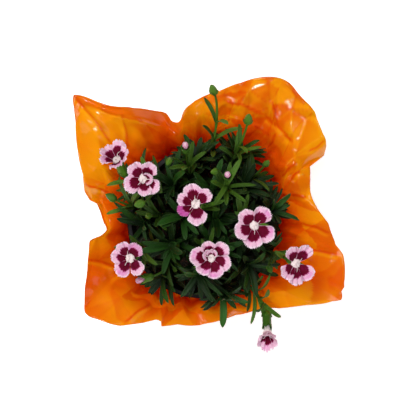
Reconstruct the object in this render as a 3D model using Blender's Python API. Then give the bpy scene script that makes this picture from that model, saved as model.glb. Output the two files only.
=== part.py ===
"""A potted dianthus in an orange film wrap: pot, soil, wrap, leafy shoots, flower stems, blooms and buds.

Metres, +Z up. The origin is on the ground under the middle of the pot. The picture's right is +X, its top is +Y.
"""

import math
import random
from collections import namedtuple

import bmesh
import bpy
import numpy as np
from mathutils import Matrix, Vector
from mathutils.bvhtree import BVHTree

# Driving dimensions
POT_HEIGHT = 0.0950
POT_RIM_RADIUS = 0.0600
POT_BASE_RADIUS = 0.0430
POT_WALL = 0.0012
FOOT_BEVEL = 0.0014
RIM_BAND_HEIGHT = 0.0080
RIM_BAND_DEPTH = 0.0022
POT_SIDES = 24
DRAIN_RADIUS = 0.0040
DRAIN_RING_RADIUS = 0.0270
DRAIN_COUNT = 4
GAP = 0.0003
FLAT_ANGLE = math.radians(0.05)
FILM_THICKNESS = 0.0008
SOIL_BELOW_RIM = 0.0120
SOIL_BEVEL = 0.0012
HOLE_DEPTH = 0.0100

# Heights worked out from the driving dimensions
POT_FLOOR_Z = FILM_THICKNESS + GAP
RIM_Z = POT_FLOOR_Z + POT_HEIGHT
SOIL_Z = RIM_Z - SOIL_BELOW_RIM
WALL_TOP_RADIUS = POT_RIM_RADIUS - RIM_BAND_DEPTH

# The wrap's upper edge, counter-clockwise: (angle in degrees, reach from the pot's axis, lift over the pot's rim)
FILM_EDGE = (
    (8, 0.085, 0.014), (17, 0.083, 0.012), (29, 0.092, 0.026), (33, 0.105, 0.042), (38, 0.110, 0.046),
    (46, 0.118, 0.048), (53, 0.121, 0.048), (60, 0.125, 0.050), (68, 0.119, 0.052), (75, 0.112, 0.050),
    (83, 0.101, 0.042), (94, 0.093, 0.032), (99, 0.089, 0.024), (104, 0.082, 0.014), (110, 0.088, 0.022),
    (121, 0.102, 0.036), (128, 0.113, 0.042), (135, 0.133, 0.046), (142, 0.121, 0.046), (150, 0.109, 0.042),
    (159, 0.097, 0.032), (167, 0.087, 0.016), (177, 0.079, 0.008), (184, 0.077, 0.012), (189, 0.088, 0.024),
    (202, 0.096, 0.038), (210, 0.104, 0.042), (218, 0.111, 0.042), (226, 0.101, 0.040), (235, 0.089, 0.032),
    (245, 0.080, 0.024), (258, 0.076, 0.014), (272, 0.072, 0.010), (286, 0.074, 0.008), (299, 0.078, 0.010),
    (309, 0.081, 0.018), (320, 0.094, 0.030), (331, 0.114, 0.040), (337, 0.111, 0.042), (348, 0.104, 0.040),
    (358, 0.093, 0.026),
)
FILM_STEP_DEGREES = 6.5
FILM_FLARE_ROWS = 4
PLEATS = 12
PLEAT_DEPTH = 0.0012
FILM_RIPPLE = 0.0012
FILM_CLEAR = 0.0006

Bloom = namedtuple("Bloom", "throat turn lean cup length petals")
Bud = namedtuple("Bud", "foot turn lean length pink branch")

# Blooms: the throat's place, the way the face turns and its lean from upright, the petals' final angle over the
# face (all in degrees), their length, and for each petal (its turn, share of the length, half width over length)
BLOOMS = (
    Bloom((-0.0630, 0.0455, 0.1530), 114, 36, 16, 0.0156,
          ((150, 1.02, 0.48), (82, 1.05, 0.48), (215, 1.00, 0.48), (285, 0.95, 0.46), (12, 0.95, 0.46))),
    Bloom((-0.0430, 0.0340, 0.1690), 250, 10, 8, 0.0172,
          ((127, 1.00, 0.46), (202, 1.02, 0.52), (58, 1.02, 0.40), (325, 0.98, 0.44), (278, 0.86, 0.40),
           (12, 0.62, 0.50))),
    Bloom((-0.0045, 0.0145, 0.1770), 150, 8, 4, 0.0172,
          ((102, 1.00, 0.46), (38, 0.96, 0.34), (160, 0.92, 0.34), (208, 0.96, 0.34), (282, 1.12, 0.42))),
    Bloom((0.0376, -0.0006, 0.1730), 285, 8, 2, 0.0180,
          ((132, 0.94, 0.42), (57, 1.04, 0.52), (197, 0.98, 0.48), (262, 1.02, 0.50), (328, 1.02, 0.54))),
    Bloom((-0.0530, -0.0250, 0.1590), 210, 12, 8, 0.0168,
          ((52, 0.98, 0.50), (114, 1.00, 0.38), (164, 0.94, 0.38), (236, 1.02, 0.50), (314, 1.00, 0.48))),
    Bloom((0.0060, -0.0240, 0.1710), 300, 6, 2, 0.0168,
          ((40, 1.02, 0.50), (335, 1.02, 0.46), (283, 1.04, 0.46), (230, 0.96, 0.44), (172, 1.10, 0.42),
           (108, 0.84, 0.44), (140, 0.60, 0.52), (80, 0.55, 0.50))),
    Bloom((0.0685, -0.0290, 0.1570), 330, 10, 6, 0.0172,
          ((113, 1.00, 0.36), (60, 1.14, 0.30), (220, 0.98, 0.36), (262, 1.08, 0.30), (316, 1.02, 0.54))),
    Bloom((0.0491, -0.0795, 0.1310), 270, 50, 42, 0.0164,
          ((265, 1.05, 0.38), (195, 0.95, 0.36), (338, 0.95, 0.36), (125, 0.80, 0.38), (52, 0.80, 0.38),
           (300, 0.58, 0.36), (225, 0.55, 0.36))),
)
# Buds: the foot's place, the way it points and its lean from upright in degrees, its length, whether the petals
# show, and the stem it branches from if it has none of its own
BUDS = (
    Bud((0.0090, 0.0970, 0.1540), 115, 34, 0.0120, False, None),
    Bud((0.0334, 0.0750, 0.1540), 80, 30, 0.0130, False, None),
    Bud((-0.0124, 0.0540, 0.1560), 95, 20, 0.0130, True, None),
    Bud((0.0187, 0.0340, 0.1600), 100, 12, 0.0120, True, None),
    Bud((-0.0660, 0.0180, 0.1360), 150, 52, 0.0110, False, None),
    Bud((-0.0404, 0.0060, 0.1450), 190, 8, 0.0080, False, None),
    Bud((-0.0380, -0.0400, 0.1380), 195, 62, 0.0120, True, None),
    Bud((0.0470, 0.0440, 0.1340), 50, 40, 0.0080, False, None),
    Bud((-0.0436, 0.0160, 0.1660), 200, 45, 0.0100, False, "flower_stem_02"),
    Bud((0.0500, -0.0322, 0.1405), 290, 34, 0.0090, False, "flower_stem_07"),
    Bud((-0.0240, 0.0490, 0.1440), 240, 40, 0.0090, False, "bud_stem_03"),
    Bud((0.0110, 0.0400, 0.1470), 200, 36, 0.0090, False, "bud_stem_04"),
)
CALYX_LENGTH = 0.0150
CALYX_RADIUS = 0.0034
CALYX_MOUTH_RADIUS = 0.0037
CALYX_WALL = 0.0008
CALYX_RECESS = 0.0070
CALYX_SIDES = 8
CALYX_TOOTH = 0.0014
FLOWER_STEM_RADIUS = 0.0011
PETAL_THICKNESS = 0.0007
PETAL_START = 0.0012
PETAL_FOOT_HALF_WIDTH = 0.0006
PETAL_ROWS = (0.0, 0.38, 0.72, 1.0)
PETAL_COLUMNS = (-1.0, -0.5, 0.0, 0.5, 1.0)
PETAL_TOOTH = 0.045
PETAL_WAVE = 0.0013

# Leafy shoots
SHOOT_COUNT = 17
SHOOT_REACH = 0.0600
SHOOT_TOP_MIDDLE = 0.0510
SHOOT_TOP_EDGE = 0.0260
SHOOT_RADIUS = 0.0011
SHOOT_PAIRS = 4
LEAF_LENGTH = 0.0300
LEAF_WIDTH = 0.0052
LEAF_THICKNESS = 0.0011
LEAF_STATIONS = (0.0, 0.25, 0.74)
BASE_REACH = 0.0360
BASE_SPACING = 0.0078
STEM_STANDS_CLEAR = 0.0022
BRANCH_TWIST = 0.6
GOLDEN_ANGLE = math.radians(137.508)
SPARE = 0.0003

UP = Vector((0, 0, 1))
Blade = namedtuple("Blade", "root out up rise droop length width")
Stem = namedtuple("Stem", "foot start lift middle end start_radius end_radius")
Petal = namedtuple("Petal", "place axes turn length half_width rise droop tilt seed")


def remove_startup_objects():
    for obj in list(bpy.data.objects):
        bpy.data.objects.remove(obj, do_unlink=True)


def material(name, colour, roughness, metallic=0.0):
    made = bpy.data.materials.new(name)
    made.use_nodes = True
    shader = made.node_tree.nodes["Principled BSDF"]
    shader.inputs["Base Color"].default_value = (*colour, 1)
    shader.inputs["Roughness"].default_value = roughness
    shader.inputs["Metallic"].default_value = metallic
    return made


def add_object(name, verts, faces, finish):
    mesh = bpy.data.meshes.new(name)
    mesh.from_pydata([tuple(v) for v in verts], [], faces)
    mesh.materials.append(finish)
    obj = bpy.data.objects.new(name, mesh)
    bpy.context.scene.collection.objects.link(obj)
    return obj


def boolean_with(obj, others, operation, solver):
    """Joins or cuts obj with the other objects in one Boolean, applies it and removes them."""
    tools = bpy.data.collections.new(obj.name + "_tools")
    bpy.context.scene.collection.children.link(tools)
    for other in others:
        bpy.context.scene.collection.objects.unlink(other)
        tools.objects.link(other)
    modifier = obj.modifiers.new("join", "BOOLEAN")
    modifier.operation = operation
    modifier.operand_type = "COLLECTION"
    modifier.collection = tools
    modifier.solver = solver
    bpy.context.view_layer.update()
    graph = bpy.context.evaluated_depsgraph_get()
    joined = bpy.data.meshes.new_from_object(obj.evaluated_get(graph))
    obj.modifiers.clear()
    obj.data = joined
    for other in others:
        bpy.data.objects.remove(other, do_unlink=True)
    bpy.data.collections.remove(tools)
    keep_outer_shell(obj.data)
    return obj


def keep_outer_shell(mesh):
    """Fills a hollow that joining has sealed and drops a loose scrap: only the largest shell stays."""
    edit = bmesh.new()
    edit.from_mesh(mesh)
    left = set(edit.faces)
    shells = []
    while left:
        shell, front = [], [left.pop()]
        while front:
            face = front.pop()
            shell.append(face)
            for edge in face.edges:
                for other in edge.link_faces:
                    if other in left:
                        left.remove(other)
                        front.append(other)
        shells.append(shell)
    shells.sort(key=lambda shell: sum(face.calc_area() for face in shell))
    for shell in shells[:-1]:
        bmesh.ops.delete(edit, geom=shell, context="FACES")
    bmesh.ops.dissolve_limit(edit, angle_limit=FLAT_ANGLE, verts=edit.verts, edges=edit.edges)
    bmesh.ops.triangulate(edit, faces=edit.faces)
    edit.to_mesh(mesh)
    edit.free()


# Pot, soil and wrap


def turned(profile, sides):
    """Vertices and faces of a closed profile of (radius, height) turned about the Z axis. Radius 0 is one vertex."""
    verts, rings = [], []
    for radius, height in profile:
        if radius == 0:
            rings.append([len(verts)] * sides)
            verts.append(Vector((0, 0, height)))
            continue
        rings.append(list(range(len(verts), len(verts) + sides)))
        for k in range(sides):
            angle = 2 * math.pi * k / sides
            verts.append(Vector((radius * math.cos(angle), radius * math.sin(angle), height)))
    faces = []
    for lower, upper in zip(rings, rings[1:]):
        for k in range(sides):
            n = (k + 1) % sides
            for face in ((lower[k], lower[n], upper[n]), (lower[k], upper[n], upper[k])):
                if len(set(face)) == 3:
                    faces.append(face)
    return verts, faces


def wall_radius(z):
    """Outer radius of the pot's tapered wall at a height over its foot."""
    return POT_BASE_RADIUS + (WALL_TOP_RADIUS - POT_BASE_RADIUS) * z / POT_HEIGHT


def make_pot(finish):
    band_z = POT_HEIGHT - RIM_BAND_HEIGHT
    inner_floor = POT_BASE_RADIUS - POT_WALL - FOOT_BEVEL
    profile = (
        (0, 0), (POT_BASE_RADIUS - FOOT_BEVEL, 0), (POT_BASE_RADIUS, FOOT_BEVEL), (wall_radius(band_z), band_z),
        (POT_RIM_RADIUS, band_z + 0.0006), (POT_RIM_RADIUS, POT_HEIGHT - 0.0006),
        (POT_RIM_RADIUS - 0.0006, POT_HEIGHT), (WALL_TOP_RADIUS - POT_WALL, POT_HEIGHT),
        (inner_floor, POT_WALL), (0, POT_WALL),
    )
    verts, faces = turned(profile, POT_SIDES)
    pot = add_object("pot", verts, faces, finish)
    drains = []
    for k in range(DRAIN_COUNT):
        angle = 2 * math.pi * (k + 0.5) / DRAIN_COUNT
        x = DRAIN_RING_RADIUS * math.cos(angle)
        y = DRAIN_RING_RADIUS * math.sin(angle)
        verts, faces = turned(((0, -0.002), (DRAIN_RADIUS, -0.002), (DRAIN_RADIUS, 0.004), (0, 0.004)), 6)
        drain = add_object("drain", verts, faces, finish)
        drain.data.transform(Matrix.Translation((x, y, 0)))
        drains.append(drain)
    boolean_with(pot, drains, "DIFFERENCE", "EXACT")
    pot.location.z = POT_FLOOR_Z
    return pot


def make_soil(stems, finish):
    floor = POT_FLOOR_Z + POT_WALL + GAP
    inward = POT_WALL + GAP + 0.0006
    top_radius = wall_radius(SOIL_Z - POT_FLOOR_Z) - inward
    profile = [(0, floor), (POT_BASE_RADIUS - inward - FOOT_BEVEL, floor), (top_radius, SOIL_Z - SOIL_BEVEL)]
    profile += [(top_radius - 3 * SOIL_BEVEL, SOIL_Z), (0, SOIL_Z)]
    soil = add_object("soil", *turned(profile, 20), finish)
    holes = []
    for stem in stems:
        radius = stem.start_radius + GAP + 0.0004
        low = Vector((stem.foot.x, stem.foot.y, SOIL_Z - HOLE_DEPTH))
        high = Vector((stem.foot.x, stem.foot.y, SOIL_Z + 0.006))
        holes.append(add_object("hole", *tube([low, high], [radius, radius], 5), finish))
    return boolean_with(soil, holes, "DIFFERENCE", "EXACT")


def film_edge(angle):
    """(reach, lift) of the wrap's upper edge at an angle in degrees, on a smooth curve through FILM_EDGE."""
    count = len(FILM_EDGE)
    angle %= 360
    after = next((k for k, point in enumerate(FILM_EDGE) if point[0] > angle), 0)
    picked = [FILM_EDGE[(after + k) % count] for k in (-2, -1, 0, 1)]
    start, end = picked[1][0], picked[2][0]
    span = (end - start) % 360
    t = ((angle - start) % 360) / span
    return tuple(smooth_between(*(point[axis] for point in picked), t) for axis in (1, 2))


def smooth_between(before, start, end, after, t):
    """A Catmull-Rom curve's value between start and end."""
    slope_in = (end - before) / 2
    slope_out = (after - start) / 2
    shape = (2 * t**3 - 3 * t**2 + 1, t**3 - 2 * t**2 + t, -2 * t**3 + 3 * t**2, t**3 - t**2)
    return shape[0] * start + shape[1] * slope_in + shape[2] * end + shape[3] * slope_out


def film_sections(angle):
    """(radius, height) of the wrap's inner face from under the pot to its upper edge, at an angle in degrees."""
    turn = math.radians(angle)
    pleat = PLEAT_DEPTH * (0.5 + 0.5 * math.sin(PLEATS * turn + 0.7 * math.sin(3 * turn)))
    foot = POT_BASE_RADIUS + FILM_CLEAR + 0.0008
    band = POT_RIM_RADIUS + FILM_CLEAR
    band_z = RIM_Z - RIM_BAND_HEIGHT - 0.0004
    middle = ((foot + band) / 2 + pleat * 0.7, (POT_FLOOR_Z + band_z) / 2)
    points = [(POT_BASE_RADIUS, FILM_THICKNESS), (foot, POT_FLOOR_Z + FOOT_BEVEL), middle, (band + pleat, band_z)]
    reach, lift = film_edge(angle)
    start_r, start_z = band + pleat, band_z
    bend_r = start_r + 0.16 * (reach - start_r)
    bend_z = RIM_Z + 0.50 * lift
    for row in range(1, FILM_FLARE_ROWS + 1):
        t = row / FILM_FLARE_ROWS
        r = (1 - t) ** 2 * start_r + 2 * t * (1 - t) * bend_r + t * t * reach
        z = (1 - t) ** 2 * start_z + 2 * t * (1 - t) * bend_z + t * t * (RIM_Z + lift)
        ripple = FILM_RIPPLE * math.sin(PLEATS * turn + 2.0 * math.sin(2 * turn)) * 4 * t * (1 - t)
        points.append((r + ripple, z + ripple))
    return points


def film_angles():
    """The angles of the wrap's sections: each point of FILM_EDGE, and even steps between them."""
    angles = []
    for (start, *_), (end, *_) in zip(FILM_EDGE, FILM_EDGE[1:] + FILM_EDGE[:1]):
        span = (end - start) % 360
        steps = max(1, round(span / FILM_STEP_DEGREES))
        angles += [start + span * k / steps for k in range(steps)]
    return angles


def make_wrap(finish):
    grid = []
    for angle in film_angles():
        turn = math.radians(angle)
        grid.append([Vector((r * math.cos(turn), r * math.sin(turn), z)) for r, z in film_sections(angle)])
    segments, rows = len(grid), len(grid[0])
    inner, outer = [], []
    for row in range(rows):
        for k in range(segments):
            here = grid[k][row]
            along = grid[k][min(row + 1, rows - 1)] - grid[k][max(row - 1, 0)]
            around = grid[(k + 1) % segments][row] - grid[k - 1][row]
            outward = around.cross(along).normalized()
            inner.append(here)
            outer.append(here + outward * FILM_THICKNESS)
            if row == 0:
                outer[-1] = Vector((here.x, here.y, 0))
            if row == 1:
                outer[-1] = here + Vector((outward.x, outward.y, 0)).normalized() * FILM_THICKNESS
                outer[-1].z = here.z - FILM_THICKNESS / 2
    count = len(inner)
    verts = inner + outer + [Vector((0, 0, FILM_THICKNESS)), Vector((0, 0, 0))]
    faces = []
    for row in range(rows - 1):
        for k in range(segments):
            n = (k + 1) % segments
            a, b = row * segments + k, row * segments + n
            c, d = b + segments, a + segments
            faces += [(a, c, b), (a, d, c), (a + count, b + count, c + count), (a + count, c + count, d + count)]
    last = (rows - 1) * segments
    for k in range(segments):
        n = (k + 1) % segments
        faces += [(last + k, last + k + count, last + n + count), (last + k, last + n + count, last + n)]
        faces += [(k, n, 2 * count), (n + count, k + count, 2 * count + 1)]
    return add_object("film_wrap", verts, faces, finish)


# Plant shapes


def tube(points, radii, sides, twist=0.0):
    """A closed tube through points, with one ring of corners at each, turned by twist."""
    verts, faces = [], []
    count = len(points)
    for k, point in enumerate(points):
        along = (points[min(k + 1, count - 1)] - points[max(k - 1, 0)]).normalized()
        side = along.cross(Vector((0.31, 0.95, 0.02))).normalized()
        other = along.cross(side)
        for j in range(sides):
            angle = 2 * math.pi * j / sides + twist
            verts.append(point + radii[k] * (math.cos(angle) * side + math.sin(angle) * other))
    for k in range(count - 1):
        for j in range(sides):
            n = (j + 1) % sides
            a, b, c, d = k * sides + j, k * sides + n, (k + 1) * sides + n, (k + 1) * sides + j
            faces += [(a, b, c), (a, c, d)]
    faces.append(tuple(range(sides - 1, -1, -1)))
    faces.append(tuple(range((count - 1) * sides, count * sides)))
    return verts, faces


def stem_point(stem, t):
    """A point on the stem's curve, which leaves the soil upright and meets its head along the head's axis."""
    s = 1 - t
    return s**3 * stem.start + 3 * s * s * t * stem.lift + 3 * s * t * t * stem.middle + t**3 * stem.end


def stem_direction(stem, t):
    return (stem_point(stem, min(t + 0.02, 1)) - stem_point(stem, max(t - 0.02, 0))).normalized()


def stem_mesh(stem, spare=0.0):
    rings, sides = 4, 5
    points = [stem_point(stem, k / (rings - 1)) for k in range(rings)]
    radii = [stem.start_radius + (stem.end_radius - stem.start_radius) * k / (rings - 1) + spare for k in range(rings)]
    if stem.foot is not None:
        points.insert(0, stem.foot)
        radii.insert(0, stem.start_radius + spare)
    return tube(points, radii, sides, 0.0 if stem.foot else BRANCH_TWIST)


def blade_point(blade, t):
    """(point, direction) on a blade's midline, which leaves its root at the rise angle and bends to the droop angle."""
    bend = blade.droop - blade.rise
    angle = blade.rise + bend * t
    forward = blade.length * (math.sin(angle) - math.sin(blade.rise)) / bend
    upward = blade.length * (math.cos(blade.rise) - math.cos(angle)) / bend
    point = blade.root + blade.out * forward + blade.up * upward
    return point, blade.out * math.cos(angle) + blade.up * math.sin(angle)


def blade_share(t):
    """Share of a leaf's full width at a share of its length: a narrow root in the stem, then a strap, then a point."""
    if t < 0.25:
        return 0.16 + 0.74 * math.sin(math.pi / 2 * t / 0.25)
    return (0.90 + 0.10 * math.sin(math.pi * (t - 0.25))) * (1 - ((t - 0.25) / 0.75) ** 5)


def blade_mesh(blade, spare=0.0):
    """A keeled blade: three corners at each station, and a pointed tip."""
    verts, faces = [], []
    side = blade.out.cross(blade.up).normalized()
    for t in LEAF_STATIONS:
        point, along = blade_point(blade, t)
        face = side.cross(along).normalized()
        half = blade.width / 2 * blade_share(t) + spare
        thick = LEAF_THICKNESS * (1 - 0.25 * t) + spare
        rise = 0.12 * half + spare
        verts += [point + side * half + face * rise, point - side * half + face * rise, point - face * thick]
    tip, along = blade_point(blade, 1.0)
    verts.append(tip + along * spare)
    rings = len(LEAF_STATIONS)
    for k in range(rings - 1):
        for j in range(3):
            n = (j + 1) % 3
            a, b, c, d = 3 * k + j, 3 * k + n, 3 * k + 3 + n, 3 * k + 3 + j
            faces += [(a, c, b), (a, d, c)]
    last = 3 * (rings - 1)
    faces += [(last + (j + 1) % 3, last + j, 3 * rings) for j in range(3)]
    faces.append((0, 1, 2))
    return verts, faces


def axes_of(turn_degrees, lean_degrees):
    """(axis, side, other side) of a head that leans from upright towards a compass turn. Upright, side is +X."""
    turn, lean = math.radians(turn_degrees), math.radians(lean_degrees)
    axis = Vector((math.cos(turn) * math.sin(lean), math.sin(turn) * math.sin(lean), math.cos(lean)))
    side = Vector((0, 1, 0)).cross(axis).normalized()
    return axis, side, axis.cross(side)


def about_axis(profile, sides, place, axes, teeth=()):
    """A closed profile of (radius, height) turned about a head's axis. Rings listed in teeth rise at every other corner."""
    axis, side, other = axes
    verts, faces = turned(profile, sides)
    rows = []
    for row, (radius, _) in enumerate(profile):
        rows += [(row, k) for k in range(1 if radius == 0 else sides)]
    placed = []
    for v, (row, corner) in zip(verts, rows):
        rise = CALYX_TOOTH if row in teeth and corner % 2 == 0 else 0.0
        placed.append(place + side * v.x + other * v.y + axis * (v.z + rise))
    return placed, faces


def cup_mesh(mouth, axes, length, radius, stem_radius):
    """A calyx: a toothed tube with a deep recess, whose mouth's centre is at mouth."""
    wall = CALYX_WALL
    recess = min(CALYX_RECESS, 0.6 * length)
    mouth_radius = radius + 0.0003
    profile = (
        (0, -length), (stem_radius + 0.0003, -length), (radius, -0.62 * length), (mouth_radius, 0),
        (mouth_radius - wall, 0), (radius - wall, -0.5 * recess), (0.8 * (radius - wall), -recess), (0, -recess),
    )
    return about_axis(profile, CALYX_SIDES, mouth, axes, teeth=(3, 4))


def closed_bud_mesh(foot, axes, length, radius, stem_radius):
    """A shut bud with a pointed end, its base at foot."""
    profile = (
        (0, 0), (stem_radius + 0.0003, 0), (radius, 0.35 * length), (0.85 * radius, 0.70 * length), (0, length),
    )
    return about_axis(profile, 7, foot, axes)


def bud_tip_mesh(mouth, axes, radius):
    """The furled petals that show from an opening bud, on a plug that stands in the calyx."""
    plug = radius - CALYX_WALL - GAP - 0.0002
    profile = (
        (0, -0.0040), (0.7 * plug, -0.0040), (plug, 0.0002), (1.30 * plug, 0.0030), (0.85 * plug, 0.0052), (0, 0.0060),
    )
    return about_axis(profile, 8, mouth, axes)


def bloom_heart_mesh(place, axes):
    """The petals' common foot in the calyx and the pale tuft over the throat."""
    foot = CALYX_RADIUS - CALYX_WALL - GAP - 0.0003
    profile = (
        (0, -0.0055), (0.9 * foot, -0.0055), (1.1 * foot, 0.0010), (0.8 * foot, 0.0032), (0, 0.0036),
    )
    return about_axis(profile, 6, place, axes)


def slab(grid, thickness):
    """A closed sheet of the given thickness about a grid of points, split into triangles alike on both faces."""
    rows, columns = len(grid), len(grid[0])
    top, bottom = [], []
    for i in range(rows):
        for j in range(columns):
            along = grid[min(i + 1, rows - 1)][j] - grid[max(i - 1, 0)][j]
            across = grid[i][min(j + 1, columns - 1)] - grid[i][max(j - 1, 0)]
            normal = along.cross(across).normalized()
            top.append(grid[i][j] - normal * thickness / 2)
            bottom.append(grid[i][j] + normal * thickness / 2)
    count = rows * columns
    faces = []
    for i in range(rows - 1):
        for j in range(columns - 1):
            a, b = i * columns + j, i * columns + j + 1
            c, d = b + columns, a + columns
            faces += [(a, b, c), (a, c, d), (a + count, c + count, b + count), (a + count, d + count, c + count)]
    rim = [j for j in range(columns)]
    rim += [i * columns + columns - 1 for i in range(1, rows)]
    rim += [(rows - 1) * columns + j for j in range(columns - 2, -1, -1)]
    rim += [i * columns for i in range(rows - 2, 0, -1)]
    for a, b in zip(rim, rim[1:] + rim[:1]):
        faces += [(a, a + count, b + count), (a, b + count, b)]
    return top + bottom, faces


def petal_point(petal, u, v):
    """A point on a petal: u runs across from -1 to 1, v from its foot in the throat to its outer edge."""
    axis, side, other = petal.axes
    reach = v * (1 - 0.5 * petal.half_width / petal.length * abs(u) ** 2.2)
    bend = petal.droop - petal.rise
    angle = petal.rise + bend * reach
    radius = PETAL_START + petal.length * (math.sin(angle) - math.sin(petal.rise)) / bend
    height = 0.0010 + petal.length * (math.cos(petal.rise) - math.cos(angle)) / bend
    half = PETAL_FOOT_HALF_WIDTH + (petal.half_width - PETAL_FOOT_HALF_WIDTH) * v ** 1.3
    turn = petal.turn + u * half / radius
    ruffle = math.sin(4.2 * u + petal.seed) + 0.7 * math.sin(9.0 * u + 2.3 * petal.seed)
    lift = u * half * math.sin(petal.tilt) + 0.5 * PETAL_WAVE * v * v * ruffle
    out = side * math.cos(turn) + other * math.sin(turn)
    return petal.place + out * radius + axis * (height + lift)


def petal_mesh(petal):
    inner = petal.tilt < 0.1
    rows = PETAL_ROWS[::3] if inner else PETAL_ROWS
    columns = PETAL_COLUMNS[::2] if inner else PETAL_COLUMNS
    grid = []
    for v in rows:
        line = []
        for k, u in enumerate(columns):
            tooth = PETAL_TOOTH if v == 1.0 and k % 2 else 0.0
            line.append(petal_point(petal, u, v - tooth))
        grid.append(line)
    return slab(grid, PETAL_THICKNESS)


def bloom_petals(index):
    """The petals of one bloom: broad ones that lie over each other, and any short ones upright inside them."""
    bloom = BLOOMS[index]
    draw = random.Random(40 + index)
    axes = axes_of(bloom.turn, bloom.lean)
    petals = []
    for turn, share, breadth in bloom.petals:
        inner = share < 0.70
        length = bloom.length * share
        rise = math.radians(86 if inner else 62 + 0.5 * bloom.cup)
        droop = math.radians(58 if inner else bloom.cup + draw.uniform(-7, 7))
        tilt = 0.05 if inner else 0.17
        seed = draw.uniform(0, 6)
        place = Vector(bloom.throat)
        petals.append(Petal(place, axes, math.radians(turn), length, length * breadth, rise, droop, tilt, seed))
    return petals


# Growing: every stem, head and leaf is bent clear of the nodes that are there already


class Garden:
    """What has grown so far, as a search tree for each shape, with the name of its node."""

    def __init__(self):
        self.nodes, self.trees, self.lows, self.highs = [], [], [], []

    def add(self, node, verts, faces):
        points = np.array([tuple(v) for v in verts])
        self.nodes.append(node)
        self.trees.append(BVHTree.FromPolygons(verts, faces))
        self.lows.append(points.min(axis=0))
        self.highs.append(points.max(axis=0))

    def clear(self, node, verts, faces, ignore=()):
        """True if the shape crosses nothing that belongs to another node."""
        points = np.array([tuple(v) for v in verts])
        low, high = points.min(axis=0), points.max(axis=0)
        near = ((np.array(self.lows) <= high) & (np.array(self.highs) >= low)).all(axis=1)
        tree = BVHTree.FromPolygons(verts, faces)
        for k in np.nonzero(near)[0]:
            other = self.nodes[k]
            if other != node and other not in ignore and tree.overlap(self.trees[k]):
                return False
        return True


def spread_bases(tops):
    """Where each stem leaves the soil: drawn in from under its top, then pushed apart."""
    share = BASE_REACH / max(math.hypot(top.x, top.y) for top in tops)
    places = []
    for top in tops:
        flat = Vector((top.x, top.y, 0))
        places.append(flat * share + flat.normalized() * BASE_REACH * 0.20)
    for _ in range(80):
        for a in range(len(places)):
            for b in range(a):
                between = places[a] - places[b]
                short = BASE_SPACING - between.length
                if short > 0:
                    push = between.normalized() if between.length > 1e-6 else Vector((1, 0, 0))
                    places[a] += push * short * 0.5
                    places[b] -= push * short * 0.5
        for place in places:
            if place.length > BASE_REACH * 1.3:
                place.length = BASE_REACH * 1.3
    return places


def grow_stem(garden, node, base, end, arrive, radius):
    """A stem from the soil to its head, with its bend tried in a few places until it is clear."""
    foot = Vector((base.x, base.y, SOIL_Z - HOLE_DEPTH + GAP))
    start = Vector((base.x, base.y, SOIL_Z + STEM_STANDS_CLEAR))
    rise = end.z - start.z
    for step in range(40):
        swing = GOLDEN_ANGLE * step
        aside = Vector((math.cos(swing), math.sin(swing), 0)) * 0.0004 * step
        middle = end - arrive * rise * 0.42 + aside
        middle.z = max(middle.z, start.z + 0.20 * rise)
        lift = start + UP * rise * 0.32 + aside * 0.4
        stem = Stem(foot, start, lift, middle, end, radius * 1.15, radius)
        if garden.clear(node, *stem_mesh(stem, spare=SPARE), ignore=("soil",)):
            return stem
    raise RuntimeError(f"{node} finds no clear way up")


def branch_stem(parent, t, end, arrive, radius):
    start = stem_point(parent, t)
    reach = (end - start).length
    lift = start + (stem_direction(parent, t) + (end - start).normalized()) * reach * 0.2
    return Stem(None, start, lift, end - arrive * reach * 0.35, end, radius, radius)


def grow_leaf(garden, node, blade):
    """The blade turned, raised or shortened until it is clear, or None."""
    tries = [(0, 0, 1.0), (14, 4, 1.0), (-14, 4, 1.0), (0, 14, 1.0), (26, 8, 0.92), (-26, 8, 0.92)]
    tries += [(0, 24, 0.88), (38, 10, 0.84), (-38, 10, 0.84), (0, 30, 0.78), (20, 22, 0.74), (-20, 22, 0.74)]
    for swing, raised, share in tries:
        out = Matrix.Rotation(math.radians(swing), 3, blade.up) @ blade.out
        rise = min(blade.rise + math.radians(raised), math.radians(84))
        droop = min(blade.droop + math.radians(raised), rise - 0.12)
        leaf = blade._replace(out=out, rise=rise, droop=droop, length=blade.length * share)
        if garden.clear(node, *blade_mesh(leaf, spare=SPARE)):
            return leaf
    return None


def leaf_pair(garden, node, stem, t, turn, rise, droop, length, width):
    """Two opposite leaves at a joint of a stem, as far as each finds room."""
    root = stem_point(stem, t)
    up = stem_direction(stem, t)
    side = Vector((0, 1, 0)).cross(up).normalized()
    other = up.cross(side)
    leaves = []
    for angle in (turn, turn + math.pi):
        out = side * math.cos(angle) + other * math.sin(angle)
        leaf = grow_leaf(garden, node, Blade(root, out, up, rise, droop, length, width))
        if leaf:
            leaves.append(leaf)
            garden.add(node, *blade_mesh(leaf))
    return leaves


def shoot_top(index):
    """Where a leafy shoot ends: the tops fill a low dome evenly."""
    share = math.sqrt((index + 0.5) / SHOOT_COUNT)
    turn = index * GOLDEN_ANGLE + 0.4
    height = SHOOT_TOP_MIDDLE + (SHOOT_TOP_EDGE - SHOOT_TOP_MIDDLE) * share**2
    return Vector((SHOOT_REACH * share * math.cos(turn), SHOOT_REACH * share * math.sin(turn), SOIL_Z + height))


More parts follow.
